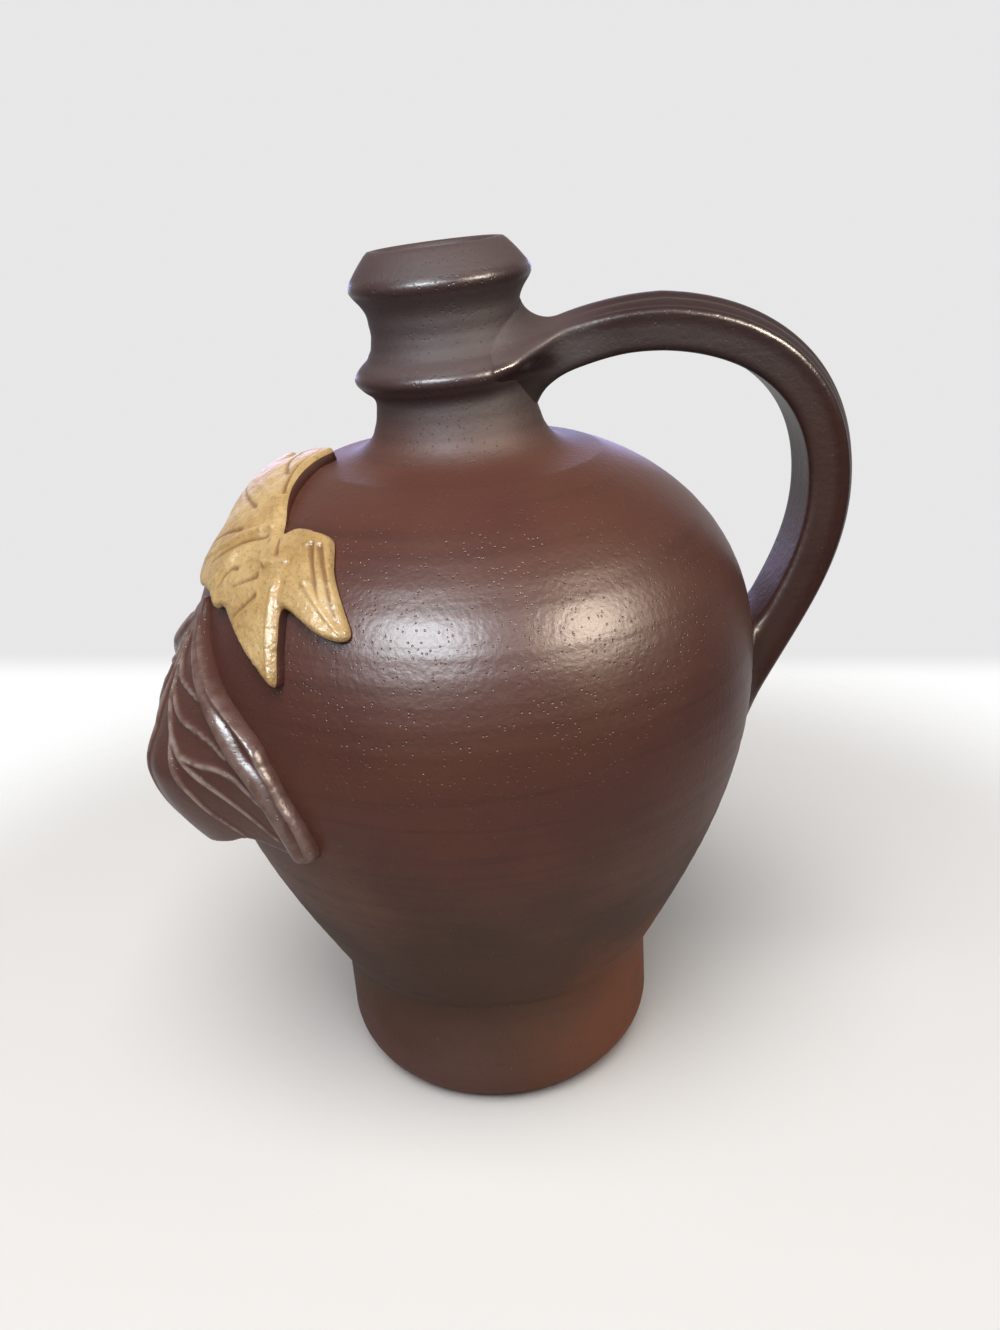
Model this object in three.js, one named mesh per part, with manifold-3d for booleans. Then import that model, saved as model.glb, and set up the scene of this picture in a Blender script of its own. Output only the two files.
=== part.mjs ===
// Earthenware jug with a strap handle and two applied clay leaves.
// Millimetres, +Z up. The origin is the centre of the foot's underside, the handle is on +X,
// and the leaves are on the opposite side, turned a little towards -Y.
import * as THREE from 'three';
import { mergeVertices } from 'three/addons/utils/BufferGeometryUtils.js';
import Module from 'manifold-3d';

// Slip joint left between two clay pieces.
const JOINT_GAP = 0.3;

// Foot: a thrown cup that holds the jug's floor.
const FOOT_HEIGHT = 52;
const FOOT_RADIUS = 59;
const FOOT_TOP_RADIUS = 61.5;
const FOOT_FLARE_HEIGHT = 16;
const FOOT_EDGE_HEIGHT = 17;
const FOOT_EDGE_INSET = 9;
const FOOT_WALL = 7;
const FLOOR_THICKNESS = 10;
const FLOOR_FILLET = 12;

// Belly: a thrown shell that swells from the waist and closes in to a flat shoulder.
const WAIST_RADIUS = 62.5;
const BELLY_RADIUS = 98;
const BELLY_RISE = 108;
const SHOULDER_RISE = 77.5;
const SHOULDER_ROUNDING = [1.21, 0.844];
const BELLY_WALL = 7;

// Neck: levels are measured up from the shoulder, along the neck's own axis.
const NECK_BASE_RADIUS = 28.5;
const NECK_LOW_RADIUS = 26;
const NECK_LOW_LEVEL = 13.5;
const COLLAR_RADIUS = 31.5;
const COLLAR_LEVEL = 24;
const COLLAR_HALF_HEIGHT = 6;
const NECK_WAIST_RADIUS = 24.2;
const NECK_WAIST_LEVEL = 38;
const FLARE_RADIUS = 29.3;
const FLARE_LEVEL = 52;
const LIP_RADIUS = 22;
const LIP_ROUND = 2.5;
const NECK_HEIGHT = 62;
const BORE_RADIUS = 18;
const BORE_BASE_RADIUS = 20;
const NECK_LEAN = 3.4;
const NECK_BEND_RUN = 14;

// Handle: a pulled strap, flat inside and crowned outside, with grooves along the crown.
const HANDLE_WIDTH = 25;
const HANDLE_ROOT_WIDTH = 36;
const HANDLE_SIDE = 12;
const HANDLE_CROWN = 5.5;
const HANDLE_GROOVE = 0.9;
const HANDLE_GROOVE_PLACE = 4.5;
const HANDLE_GROOVE_WIDTH = 1.8;
const HANDLE_CORNER = 3;
const HANDLE_ROOT_RUN = 70;
const HANDLE_ROOT_DEPTH = 10;
const HANDLE_ROOT_DEPTH_RUN = 30;
const HANDLE_ROOT_LEVEL = 18;
const HANDLE_ROOT_BITE = 8;
const HANDLE_ROOT_PULL = [38, 16];
const HANDLE_CLEAR_REACH = 116;
const HANDLE_REACH_DROP = 22;
const HANDLE_TOP_PULL = 52;
const HANDLE_LOW_PULL = 26;
const HANDLE_SEAT_RISE = -17;
const HANDLE_SEAT_BITE = 12;
const HANDLE_SEAT_PULL = [16, 32];

// Leaves: places on the belly are given as [azimuth, rise] in degrees. Rise is 0 at the widest level,
// and reaches its full turn at the neck and, below zero, at the waist.
const FULL_RISE = 90;
const OCHRE_THICKNESS = 5;
const OCHRE_THINNING = 2;
const OCHRE_THINNING_AZIMUTH = [176, 204];
const OCHRE_CURL = 4;
const OCHRE_CURL_RISE = 55;
const OCHRE_CURL_SPREAD = 13;
const OCHRE_CENTRE = [222, 41];
const OCHRE_OUTLINE = [
  [219, 49], [224, 51], [230, 51], [236, 50],
  [240, 42], [244, 35], [247, 29], [245.5, 27], [241, 28], [232, 32],
  [232.5, 25], [233.5, 16], [229, 18.5], [224, 22], [215.5, 28],
  [211, 27], [206, 29], [198, 28.5], [192, 31], [189, 36], [188, 42],
  [172, 46], [163, 55], [166, 62], [176, 62],
  [171, 69], [179, 75], [188, 71.5], [197, 66], [213, 54],
];
const BROWN_EDGE_LIFT = 3;
const BROWN_BULGE = 18.5;
const BROWN_BULGE_RISE = -11;
const BROWN_BULGE_ACROSS = 15.5;
const BROWN_BULGE_ABOVE = 18;
const BROWN_BULGE_BELOW = 30;
const BROWN_CENTRE = [201, -10];
const BROWN_HALF_OUTLINE = [
  [201, 23.5], [204, 20.5], [210, 14], [218, 7], [226, 0], [230, -9], [233, -19], [234, -23.5],
  [227, -26.5], [218.5, -25], [210, -28], [201, -34],
];
const ROLL_PATH = [[205.5, 17.5], [210, 14], [218, 7], [226, 0.5], [230, -9], [234.5, -24]];
const ROLL_WIDTH = 10;
const ROLL_HEIGHT = 6;
const COIL_END = 0.45;
const VEIN_WIDTH = 3.6;
const VEIN_HEIGHT = 2;
const MIDRIB_PATH = [[201, 13], [201, 0], [201, -15], [201, -30]];
const VEIN_PATHS = [
  [[203.5, 10], [205.5, 4], [211.5, -5], [218.5, -12], [226, -20.5]],
  [[213.7, -4.5], [218, -4.5], [222, -6.5], [226, -11]],
  [[210.3, -8], [212, -13], [214, -18], [218, -23]],
  [[208.8, 3], [213, 2.2], [217, 1.2], [221, -0.5]],
  [[206, 9], [209, 8.5], [212, 8]],
];

// Fineness of the facets.
const TURN_STEPS = 40;
const FILLET_STEPS = 4;
const PROFILE_STEPS = 8;
const NECK_STEPS = 22;
const STRAP_STATIONS = 26;
const STRAP_CROWN_STEPS = 12;
const LEAF_RINGS = [0.35, 0.7, 1];
const LEAF_OUTLINE_STEPS = 60;
const COIL_SIDES = 4;
const COIL_STATIONS_PER_POINT = 3;

// How far a piece runs on below its seat before it is trimmed to it.
const TRIM_DEPTH = 1.5;

// Steps for measuring slopes: degrees along the belly's profile, and a share of a coil's length.
const RISE_STEP = 0.5;
const SHARE_STEP = 0.01;

const WAIST_LEVEL = FOOT_HEIGHT + JOINT_GAP;
const BELLY_LEVEL = WAIST_LEVEL + BELLY_RISE;
const SHOULDER_LEVEL = BELLY_LEVEL + SHOULDER_RISE;
const NECK_SEAT = SHOULDER_LEVEL + JOINT_GAP;

const GLAZE_BROWN = { color: 0x3a2621, roughness: 0.35, metalness: 0 };
const GLAZE_OLIVE = { color: 0x4a3a22, roughness: 0.4, metalness: 0 };
const GLAZE_OCHRE = { color: 0xa27a3c, roughness: 0.45, metalness: 0 };

const wasm = await Module();
wasm.setup();

const radians = THREE.MathUtils.degToRad;
const smooth = THREE.MathUtils.smoothstep;

// Closed triangle meshes and the solids that cut them.
function meshOf(vertices, triangles) {
  const geometry = new THREE.BufferGeometry();
  geometry.setAttribute('position', new THREE.Float32BufferAttribute(vertices, 3));
  geometry.setIndex(triangles);
  return geometry;
}

function solidOf(geometry) {
  const bare = geometry.clone();
  bare.deleteAttribute('normal');
  bare.deleteAttribute('uv');
  const merged = mergeVertices(bare, 1e-4);
  const corners = merged.index.array;
  const triVerts = [];
  for (let i = 0; i < corners.length; i += 3) {
    const [a, b, c] = [corners[i], corners[i + 1], corners[i + 2]];
    if (a !== b && b !== c && c !== a) triVerts.push(a, b, c);
  }
  return new wasm.Manifold(new wasm.Mesh({
    numProp: 3,
    vertProperties: merged.attributes.position.array,
    triVerts: Uint32Array.from(triVerts),
  }));
}

function geometryOf(solid) {
  const mesh = solid.getMesh();
  return meshOf(mesh.vertProperties, Array.from(mesh.triVerts));
}

// Revolves a profile of [radius, height] points about Z.
function turned(profile) {
  const points = profile.map(([radius, height]) => new THREE.Vector2(radius, height));
  return new THREE.LatheGeometry(points, TURN_STEPS).rotateX(Math.PI / 2);
}

// Joins equal rings of points into a closed tube with flat ends.
function lofted(rings) {
  const count = rings[0].length;
  const vertices = rings.flat().flatMap((point) => point.toArray());
  const triangles = [];
  for (let i = 0; i + 1 < rings.length; i += 1) {
    for (let j = 0; j < count; j += 1) {
      const next = (j + 1) % count;
      const [a, b] = [i * count + j, i * count + next];
      const [c, d] = [a + count, b + count];
      triangles.push(a, b, d, a, d, c);
    }
  }
  const last = (rings.length - 1) * count;
  for (let j = 1; j + 1 < count; j += 1) {
    triangles.push(0, j + 1, j);
    triangles.push(last, last + j, last + j + 1);
  }
  return meshOf(vertices, triangles);
}

// The belly's outer profile at a rise in degrees, as [radius, height].
function bellyProfile(rise) {
  const turn = radians(rise);
  if (rise < 0) {
    const swell = (BELLY_RADIUS - WAIST_RADIUS) * Math.cos(turn);
    return [WAIST_RADIUS + swell, BELLY_LEVEL + BELLY_RISE * rise / FULL_RISE];
  }
  const [inward, upward] = SHOULDER_ROUNDING;
  const reach = (BELLY_RADIUS - NECK_BASE_RADIUS) * Math.max(Math.cos(turn), 0) ** inward;
  return [NECK_BASE_RADIUS + reach, BELLY_LEVEL + SHOULDER_RISE * Math.sin(turn) ** upward];
}

// A point that stands off the belly's outer profile, measured square to it.
function bellyOffset(rise, lift) {
  const [lowRadius, lowHeight] = bellyProfile(Math.max(rise - RISE_STEP, -FULL_RISE));
  const [highRadius, highHeight] = bellyProfile(Math.min(rise + RISE_STEP, FULL_RISE));
  const along = Math.hypot(highRadius - lowRadius, highHeight - lowHeight);
  const [radius, height] = bellyProfile(rise);
  return [
    radius + lift * (highHeight - lowHeight) / along,
    height - lift * (highRadius - lowRadius) / along,
  ];
}

function onBelly([azimuth, rise], lift) {
  const [radius, height] = bellyOffset(rise, lift);
  const turn = radians(azimuth);
  return new THREE.Vector3(radius * Math.cos(turn), radius * Math.sin(turn), height);
}

function bellyLine(lift) {
  const line = [];
  for (let i = -PROFILE_STEPS; i <= PROFILE_STEPS; i += 1) {
    line.push(bellyOffset(FULL_RISE * i / PROFILE_STEPS, lift));
  }
  return line;
}

function footGeometry() {
  const inner = FOOT_RADIUS - FOOT_WALL;
  const flareLevel = FOOT_HEIGHT - FOOT_FLARE_HEIGHT;
  const edge = [];
  const flare = [];
  const fillet = [];
  for (let i = 0; i <= FILLET_STEPS; i += 1) {
    const share = i / FILLET_STEPS;
    const turn = Math.PI / 2 * share;
    edge.push([
      FOOT_RADIUS - FOOT_EDGE_INSET * (1 - share) ** 2,
      FOOT_EDGE_HEIGHT * share,
    ]);
    flare.push([
      FOOT_RADIUS + (FOOT_TOP_RADIUS - FOOT_RADIUS) * share ** 2,
      flareLevel + FOOT_FLARE_HEIGHT * share,
    ]);
    fillet.push([
      inner - FLOOR_FILLET * (1 - Math.cos(turn)),
      FLOOR_THICKNESS + FLOOR_FILLET * (1 - Math.sin(turn)),
    ]);
  }
  return turned([[0, 0], ...edge, ...flare, [inner, FOOT_HEIGHT], ...fillet, [0, FLOOR_THICKNESS]]);
}

function bellyGeometry() {
  const outside = bellyLine(0);
  const inside = bellyLine(-BELLY_WALL).filter(([, height]) => height > WAIST_LEVEL + BELLY_WALL);
  return turned([
    ...outside,
    [BORE_BASE_RADIUS, SHOULDER_LEVEL],
    [BORE_BASE_RADIUS, SHOULDER_LEVEL - BELLY_WALL],
    ...inside.reverse(),
    [FOOT_RADIUS - FOOT_WALL, WAIST_LEVEL],
    outside[0],
  ]);
}

// The neck's outer line as [radius, level] points from its seat to the lip.
function neckLine() {
  const bell = (NECK_LOW_RADIUS + COLLAR_RADIUS) / 2;
  const drop = (NECK_WAIST_RADIUS + COLLAR_RADIUS) / 2;
  const curve = new THREE.SplineCurve([
    [NECK_BASE_RADIUS, 0],
    [NECK_LOW_RADIUS, NECK_LOW_LEVEL],
    [bell, COLLAR_LEVEL - COLLAR_HALF_HEIGHT / 2],
    [COLLAR_RADIUS, COLLAR_LEVEL],
    [drop, COLLAR_LEVEL + COLLAR_HALF_HEIGHT],
    [NECK_WAIST_RADIUS, NECK_WAIST_LEVEL],
    [(NECK_WAIST_RADIUS + FLARE_RADIUS) / 2, (NECK_WAIST_LEVEL + 2 * FLARE_LEVEL) / 3],
    [FLARE_RADIUS, FLARE_LEVEL],
    [LIP_RADIUS, NECK_HEIGHT - LIP_ROUND],
  ].map(([radius, level]) => new THREE.Vector2(radius, level)));
  return curve.getPoints(NECK_STEPS).map((point) => point.toArray());
}

// Leans a turned neck away from the handle, bending it just above its seat.
function leaned(geometry) {
  const position = geometry.attributes.position;
  for (let i = 0; i < position.count; i += 1) {
    const level = position.getZ(i);
    const bent = Math.min(Math.max(level / NECK_BEND_RUN, 0), 1);
    const lean = radians(NECK_LEAN) * bent;
    const sway = Math.sin(lean) * (level - NECK_BEND_RUN * bent / 2);
    const x = position.getX(i);
    position.setX(i, x * Math.cos(lean) - sway);
    position.setZ(i, NECK_SEAT + level + x * Math.sin(lean));
  }
  return geometry;
}

function neckGeometry() {
  const outside = neckLine();
  return leaned(turned([
    ...outside,
    [LIP_RADIUS - LIP_ROUND / 2, NECK_HEIGHT - LIP_ROUND / 4],
    [LIP_RADIUS - LIP_ROUND, NECK_HEIGHT],
    [BORE_RADIUS + LIP_ROUND / 3, NECK_HEIGHT - LIP_ROUND / 4],
    [BORE_RADIUS, NECK_HEIGHT - LIP_ROUND],
    [BORE_RADIUS, NECK_WAIST_LEVEL],
    [BORE_BASE_RADIUS, 0],
    outside[0],
  ]));
}

// The neck and the belly as filled solids, grown by the slip joint, for trimming what sits on them.
function neckCutter() {
  const grown = neckLine().map(([radius, level]) => [radius + JOINT_GAP, level]);
  return solidOf(leaned(turned([[0, 0], ...grown, [0, NECK_HEIGHT]])));
}

function bellyCutter() {
  const grown = bellyLine(JOINT_GAP);
  const top = SHOULDER_LEVEL + JOINT_GAP;
  return solidOf(turned([[0, grown[0][1]], ...grown, [0, top]]));
}

// The strap's section as [across, out] points: across is along Y, out is away from the hand.
function strapSection(halfWidth, depth) {
  const section = [];
  for (let i = 0; i <= STRAP_CROWN_STEPS; i += 1) {
    const across = halfWidth * (1 - 2 * i / STRAP_CROWN_STEPS);
    const fromGroove = (Math.abs(across) - HANDLE_GROOVE_PLACE) / HANDLE_GROOVE_WIDTH;
    const crown = HANDLE_CROWN * (1 - (across / halfWidth) ** 2);
    section.push([across, HANDLE_SIDE + crown - HANDLE_GROOVE * Math.exp(-(fromGroove ** 2))]);
  }
  section.push(
    [-halfWidth, HANDLE_CORNER],
    [-halfWidth + HANDLE_CORNER, -depth],
    [halfWidth - HANDLE_CORNER, -depth],
    [halfWidth, HANDLE_CORNER],
  );
  return section;
}

function handlePath() {
  const [seatRadius, seatLevel] = bellyProfile(HANDLE_SEAT_RISE);
  const reachLevel = NECK_SEAT - HANDLE_REACH_DROP;
  const root = new THREE.Vector3(NECK_LOW_RADIUS - HANDLE_ROOT_BITE, 0, NECK_SEAT + HANDLE_ROOT_LEVEL);
  const reach = new THREE.Vector3(HANDLE_CLEAR_REACH, 0, reachLevel);
  const seat = new THREE.Vector3(seatRadius - HANDLE_SEAT_BITE, 0, seatLevel);
  const path = new THREE.CurvePath();
  path.add(new THREE.CubicBezierCurve3(
    root,
    root.clone().add(new THREE.Vector3(HANDLE_ROOT_PULL[0], 0, HANDLE_ROOT_PULL[1])),
    reach.clone().add(new THREE.Vector3(0, 0, HANDLE_TOP_PULL)),
    reach,
  ));
  path.add(new THREE.CubicBezierCurve3(
    reach,
    reach.clone().add(new THREE.Vector3(0, 0, -HANDLE_LOW_PULL)),
    seat.clone().add(new THREE.Vector3(HANDLE_SEAT_PULL[0], 0, HANDLE_SEAT_PULL[1])),
    seat,
  ));
  return path;
}

function handleGeometry() {
  const path = handlePath();
  const length = path.getLength();
  const rings = [];
  for (let i = 0; i <= STRAP_STATIONS; i += 1) {
    const place = i / STRAP_STATIONS;
    const point = path.getPointAt(place);
    const along = path.getTangentAt(place);
    const out = new THREE.Vector3(-along.z, 0, along.x);
    const flare = Math.max(1 - place * length / HANDLE_ROOT_RUN, 0) ** 2;
    const depth = HANDLE_ROOT_DEPTH * Math.max(1 - place * length / HANDLE_ROOT_DEPTH_RUN, 0) ** 2;
    const halfWidth = (HANDLE_WIDTH + (HANDLE_ROOT_WIDTH - HANDLE_WIDTH) * flare) / 2;
    rings.push(strapSection(halfWidth, depth).map(([across, rise]) => (
      new THREE.Vector3(0, across, 0).addScaledVector(out, rise).add(point)
    )));
  }
  return geometryOf(solidOf(lofted(rings)).subtract(neckCutter()).subtract(bellyCutter()));
}

// A leaf is a fan of rings about its centre, up to its own height, with the belly trimmed out of it.
function leafSolid(outline, centre, height, grow = 0) {
  const corners = outline.map(([azimuth, rise]) => new THREE.Vector3(azimuth, rise, 0));
  const edge = new THREE.CatmullRomCurve3(corners, true, 'centripetal').getPoints(LEAF_OUTLINE_STEPS);
  edge.pop();
  const places = LEAF_RINGS.flatMap((share) => edge.map((point) => [
    centre[0] + share * (point.x - centre[0]),
    centre[1] + share * (point.y - centre[1]),
  ]));
  const layer = [centre, ...places];
  const top = layer.map((place) => onBelly(place, height(place) + grow));
  const under = layer.map((place) => onBelly(place, -TRIM_DEPTH));
  const count = edge.length;
  const size = layer.length;
  const triangles = [];
  const outer = 1 + (LEAF_RINGS.length - 1) * count;
  for (let j = 0; j < count; j += 1) {
    const next = (j + 1) % count;
    triangles.push(0, 1 + next, 1 + j, size, size + 1 + j, size + 1 + next);
    for (let ring = 0; ring + 1 < LEAF_RINGS.length; ring += 1) {
      const [a, b] = [1 + ring * count + j, 1 + ring * count + next];
      const [c, d] = [a + count, b + count];
      triangles.push(a, b, d, a, d, c);
      triangles.push(size + a, size + d, size + b, size + a, size + c, size + d);
    }
    const [a, b] = [outer + j, outer + next];
    triangles.push(a, b, size + b, a, size + b, size + a);
  }
  const points = [...top, ...under].flatMap((point) => point.toArray());
  return solidOf(meshOf(points, triangles)).subtract(bellyCutter());
}

function ochreHeight([azimuth, rise]) {
  const aside = 1 - smooth(azimuth, ...OCHRE_THINNING_AZIMUTH);
  const curl = OCHRE_CURL * Math.exp(-(((rise - OCHRE_CURL_RISE) / OCHRE_CURL_SPREAD) ** 2));
  return OCHRE_THICKNESS + aside * (curl - OCHRE_THINNING);
}

function brownHeight([azimuth, rise]) {
  const aside = (azimuth - BROWN_CENTRE[0]) / BROWN_BULGE_ACROSS;
  const above = rise - BROWN_BULGE_RISE;
  const up = above / (above > 0 ? BROWN_BULGE_ABOVE : BROWN_BULGE_BELOW);
  return BROWN_EDGE_LIFT + BROWN_BULGE * Math.exp(-(aside ** 2) - up ** 2);
}

// The brown leaf's other half mirrors its visible half about the midrib.
function mirrored(path) {
  return path.map(([azimuth, rise]) => [2 * BROWN_CENTRE[0] - azimuth, rise]);
}

// A coil of clay laid along a path of places, half round, with tapered ends and a foot to be trimmed.
function coilSolid(path, width, height, seat, grow = 0) {
  const line = new THREE.CatmullRomCurve3(path.map(([azimuth, rise]) => new THREE.Vector3(azimuth, rise, 0)));
  const stations = COIL_STATIONS_PER_POINT * path.length;
  const rings = [];
  for (let i = 0; i <= stations; i += 1) {
    const share = i / stations;
    const place = line.getPoint(share).toArray();
    const ahead = line.getPoint(Math.min(share + SHARE_STEP, 1)).toArray();
    const behind = line.getPoint(Math.max(share - SHARE_STEP, 0)).toArray();
    const base = onBelly(place, seat(place));
    const out = base.clone().sub(onBelly(place, seat(place) - TRIM_DEPTH)).normalize();
    const along = onBelly(ahead, seat(ahead)).sub(onBelly(behind, seat(behind))).normalize();
    const across = new THREE.Vector3().crossVectors(out, along).normalize();
    const taper = COIL_END + (1 - COIL_END) * Math.sqrt(Math.max(Math.sin(Math.PI * share), 0));
    const halfWidth = width / 2 * taper + grow;
    const ring = [[halfWidth, -TRIM_DEPTH]];
    for (let j = 0; j <= COIL_SIDES; j += 1) {
      const turn = Math.PI * j / COIL_SIDES;
      ring.push([halfWidth * Math.cos(turn), (height * taper + grow) * Math.sin(turn)]);
    }
    ring.push([-halfWidth, -TRIM_DEPTH]);
    rings.push(ring.map(([aside, up]) => (
      base.clone().addScaledVector(across, aside).addScaledVector(out, up)
    )));
  }
  return solidOf(lofted(rings));
}

function rollSolid(path, grow) {
  return coilSolid(path, ROLL_WIDTH, ROLL_HEIGHT, () => 0, grow);
}

function rollGeometry(path) {
  return geometryOf(rollSolid(path, 0).subtract(bellyCutter()));
}

function withoutRolls(solid) {
  const right = rollSolid(ROLL_PATH, JOINT_GAP);
  const left = rollSolid(mirrored(ROLL_PATH), JOINT_GAP);
  return solid.subtract(right).subtract(left);
}

function brownLeafSolid(grow) {
  const half = BROWN_HALF_OUTLINE;
  const outline = [...half, ...mirrored(half).slice(1, -1).reverse()];
  return leafSolid(outline, BROWN_CENTRE, brownHeight, grow);
}

function veinSolid(path) {
  const vein = coilSolid(path, VEIN_WIDTH, VEIN_HEIGHT, brownHeight);
  return withoutRolls(vein.subtract(brownLeafSolid(JOINT_GAP)));
}

const jug = new THREE.Group();

function addPiece(name, geometry, finish) {
  const piece = new THREE.Mesh(geometry, new THREE.MeshStandardMaterial(finish));
  piece.name = name;
  jug.add(piece);
}

addPiece('foot', footGeometry(), GLAZE_OLIVE);
addPiece('belly', bellyGeometry(), GLAZE_BROWN);
addPiece('neck', neckGeometry(), GLAZE_BROWN);
addPiece('handle', handleGeometry(), GLAZE_BROWN);
addPiece('ochre_leaf', geometryOf(leafSolid(OCHRE_OUTLINE, OCHRE_CENTRE, ochreHeight)), GLAZE_OCHRE);
addPiece('brown_leaf', geometryOf(withoutRolls(brownLeafSolid(0))), GLAZE_BROWN);
addPiece('leaf_roll_right', rollGeometry(ROLL_PATH), GLAZE_BROWN);
addPiece('leaf_roll_left', rollGeometry(mirrored(ROLL_PATH)), GLAZE_BROWN);
addPiece('leaf_midrib', geometryOf(veinSolid(MIDRIB_PATH)), GLAZE_BROWN);
VEIN_PATHS.forEach((path, index) => {
  addPiece(`leaf_vein_right_${index + 1}`, geometryOf(veinSolid(path)), GLAZE_BROWN);
  addPiece(`leaf_vein_left_${index + 1}`, geometryOf(veinSolid(mirrored(path))), GLAZE_BROWN);
});

export default jug;
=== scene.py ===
# Looks of the earthenware jug: a thrown wall, a pulled strap handle and two pressed clay leaves.
# Metres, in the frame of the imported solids: Z up the turning axis, the handle on +X, the origin
# at the centre of the foot's underside.
import math

import bmesh
import bpy
import numpy as np
from mathutils import Matrix, Vector
from mathutils.geometry import delaunay_2d_cdt


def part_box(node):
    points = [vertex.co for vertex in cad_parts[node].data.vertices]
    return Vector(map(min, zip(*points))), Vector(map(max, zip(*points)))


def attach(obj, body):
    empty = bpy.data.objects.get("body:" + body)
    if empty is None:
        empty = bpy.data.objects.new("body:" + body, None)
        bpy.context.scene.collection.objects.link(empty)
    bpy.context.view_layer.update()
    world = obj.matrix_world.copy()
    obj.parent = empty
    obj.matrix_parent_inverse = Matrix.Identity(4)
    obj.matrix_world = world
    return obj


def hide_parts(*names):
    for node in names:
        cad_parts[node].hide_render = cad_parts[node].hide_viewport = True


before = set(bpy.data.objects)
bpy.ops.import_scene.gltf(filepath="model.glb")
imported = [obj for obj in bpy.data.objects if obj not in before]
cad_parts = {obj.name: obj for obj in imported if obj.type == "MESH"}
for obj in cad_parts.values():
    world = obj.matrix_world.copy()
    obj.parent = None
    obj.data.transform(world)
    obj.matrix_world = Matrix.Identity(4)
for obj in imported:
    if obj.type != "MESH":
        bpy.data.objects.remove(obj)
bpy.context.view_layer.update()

MM = 0.001

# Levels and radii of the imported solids.
FOOT_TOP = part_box("foot")[1].z
WAIST_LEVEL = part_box("belly")[0].z
SHOULDER_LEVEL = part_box("belly")[1].z
BELLY_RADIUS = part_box("belly")[1].x
NECK_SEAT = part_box("neck")[0].z

# Foot
FOOT_RADIUS = 59 * MM
FOOT_FLARE = 2.5 * MM
FOOT_FLARE_HEIGHT = 16 * MM
FOOT_EDGE_HEIGHT = 17 * MM
FOOT_EDGE_INSET = 9 * MM
FLOOR_THICKNESS = 10 * MM
FLOOR_FILLET = 12 * MM
WALL = 7 * MM

# Belly: rise is 0 degrees at the widest level, 90 at the neck and -90 at the waist. The radius
# and level of the shoulder follow the cosine and sine of the rise, to these powers.
WAIST_RADIUS = 62.5 * MM
BELLY_ABOVE_WAIST = 108 * MM
BELLY_LEVEL = WAIST_LEVEL + BELLY_ABOVE_WAIST
NECK_BASE_RADIUS = 28.5 * MM
SHOULDER_ROUNDING = (1.21, 0.844)
SHOULDER_START = 1.5
SHOULDER_END = 70
WAIST_RISE = -88
INSIDE_WAIST_RISE = -84

# Neck: radius and level above its seat, along its own axis, in millimetres.
NECK_LINE = [
    (41.5, -3.6), (37.5, -2.8), (34.0, -1.4), (31.2, 0.7), (29.1, 3.4), (27.6, 7.0),
    (26.5, 11.4), (26.0, 16.2), (27.0, 18.4), (29.5, 20.6), (31.2, 22.6), (31.6, 23.9),
    (31.2, 25.2), (29.6, 27.2), (27.2, 29.2), (26.3, 30.2), (25.9, 31.1), (25.1, 32.6),
    (24.4, 35.3), (24.2, 38.0), (24.7, 43.0), (26.0, 46.0), (28.3, 49.0), (29.3, 51.0),
    (29.3, 52.2), (28.3, 54.2), (25.4, 58.0), (22.8, 61.0),
]
LIP_LINE = [(22.8, 61.0), (21.6, 62.0), (20.2, 62.2), (18.7, 61.6), (18.0, 60.2)]
BORE_RADIUS = 18 * MM
BORE_BASE_RADIUS = 20 * MM
BORE_BEND_LEVEL = 38 * MM
LIP_RIDGE_LEVEL = 52 * MM
COLLAR_LEVEL = 24 * MM
COLLAR_HEIGHT = 5 * MM
# Towards the strap the collar is cut back: the cut starts and is full at these turns from it.
COLLAR_CUT = 3 * MM
COLLAR_CUT_START = math.radians(70)
COLLAR_CUT_FULL = math.radians(53)
NECK_LEAN = math.radians(3.4)
NECK_BEND_RUN = 14 * MM

# Throwing marks: fine rings, and a wobble of the whole wall, whose pattern is scaled to the turn
# and changes with the rise to the metre. They fade out towards the axis.
RING_DEPTH = 0.35 * MM
RING_PITCH = 4 * MM
WOBBLE = 0.8 * MM
WOBBLE_SCALE = 1.3
WOBBLE_RISE = 12.0
MARK_FADE_RADIUS = 20 * MM

# Handle: its path is the strap's flat inner face, a curve in the plane of X and Z that goes
# through three points and is pulled towards others on the way. Heights are above that face.
STRAP_WIDTH = 25 * MM
STRAP_SIDE = 12 * MM
STRAP_CROWN = 5.5 * MM
STRAP_CORNER = 2.5 * MM
STRAP_EDGE_HEIGHT = STRAP_SIDE - STRAP_CORNER / 3
STRAP_GROOVE = 0.9 * MM
STRAP_GROOVE_PLACE = 4.5 * MM
STRAP_GROOVE_WIDTH = 1.6 * MM
STRAP_ROOT = Vector((18, 0, 256.1)) * MM
STRAP_ROOT_PULL = Vector((38, 0, 16)) * MM
STRAP_REACH = Vector((116, 0, 216.1)) * MM
STRAP_TOP_PULL = Vector((0, 0, 52)) * MM
STRAP_LOW_PULL = Vector((0, 0, -26)) * MM
STRAP_SEAT = Vector((84.5, 0, 139.9)) * MM
STRAP_SEAT_PULL = Vector((16, 0, 32)) * MM
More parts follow.
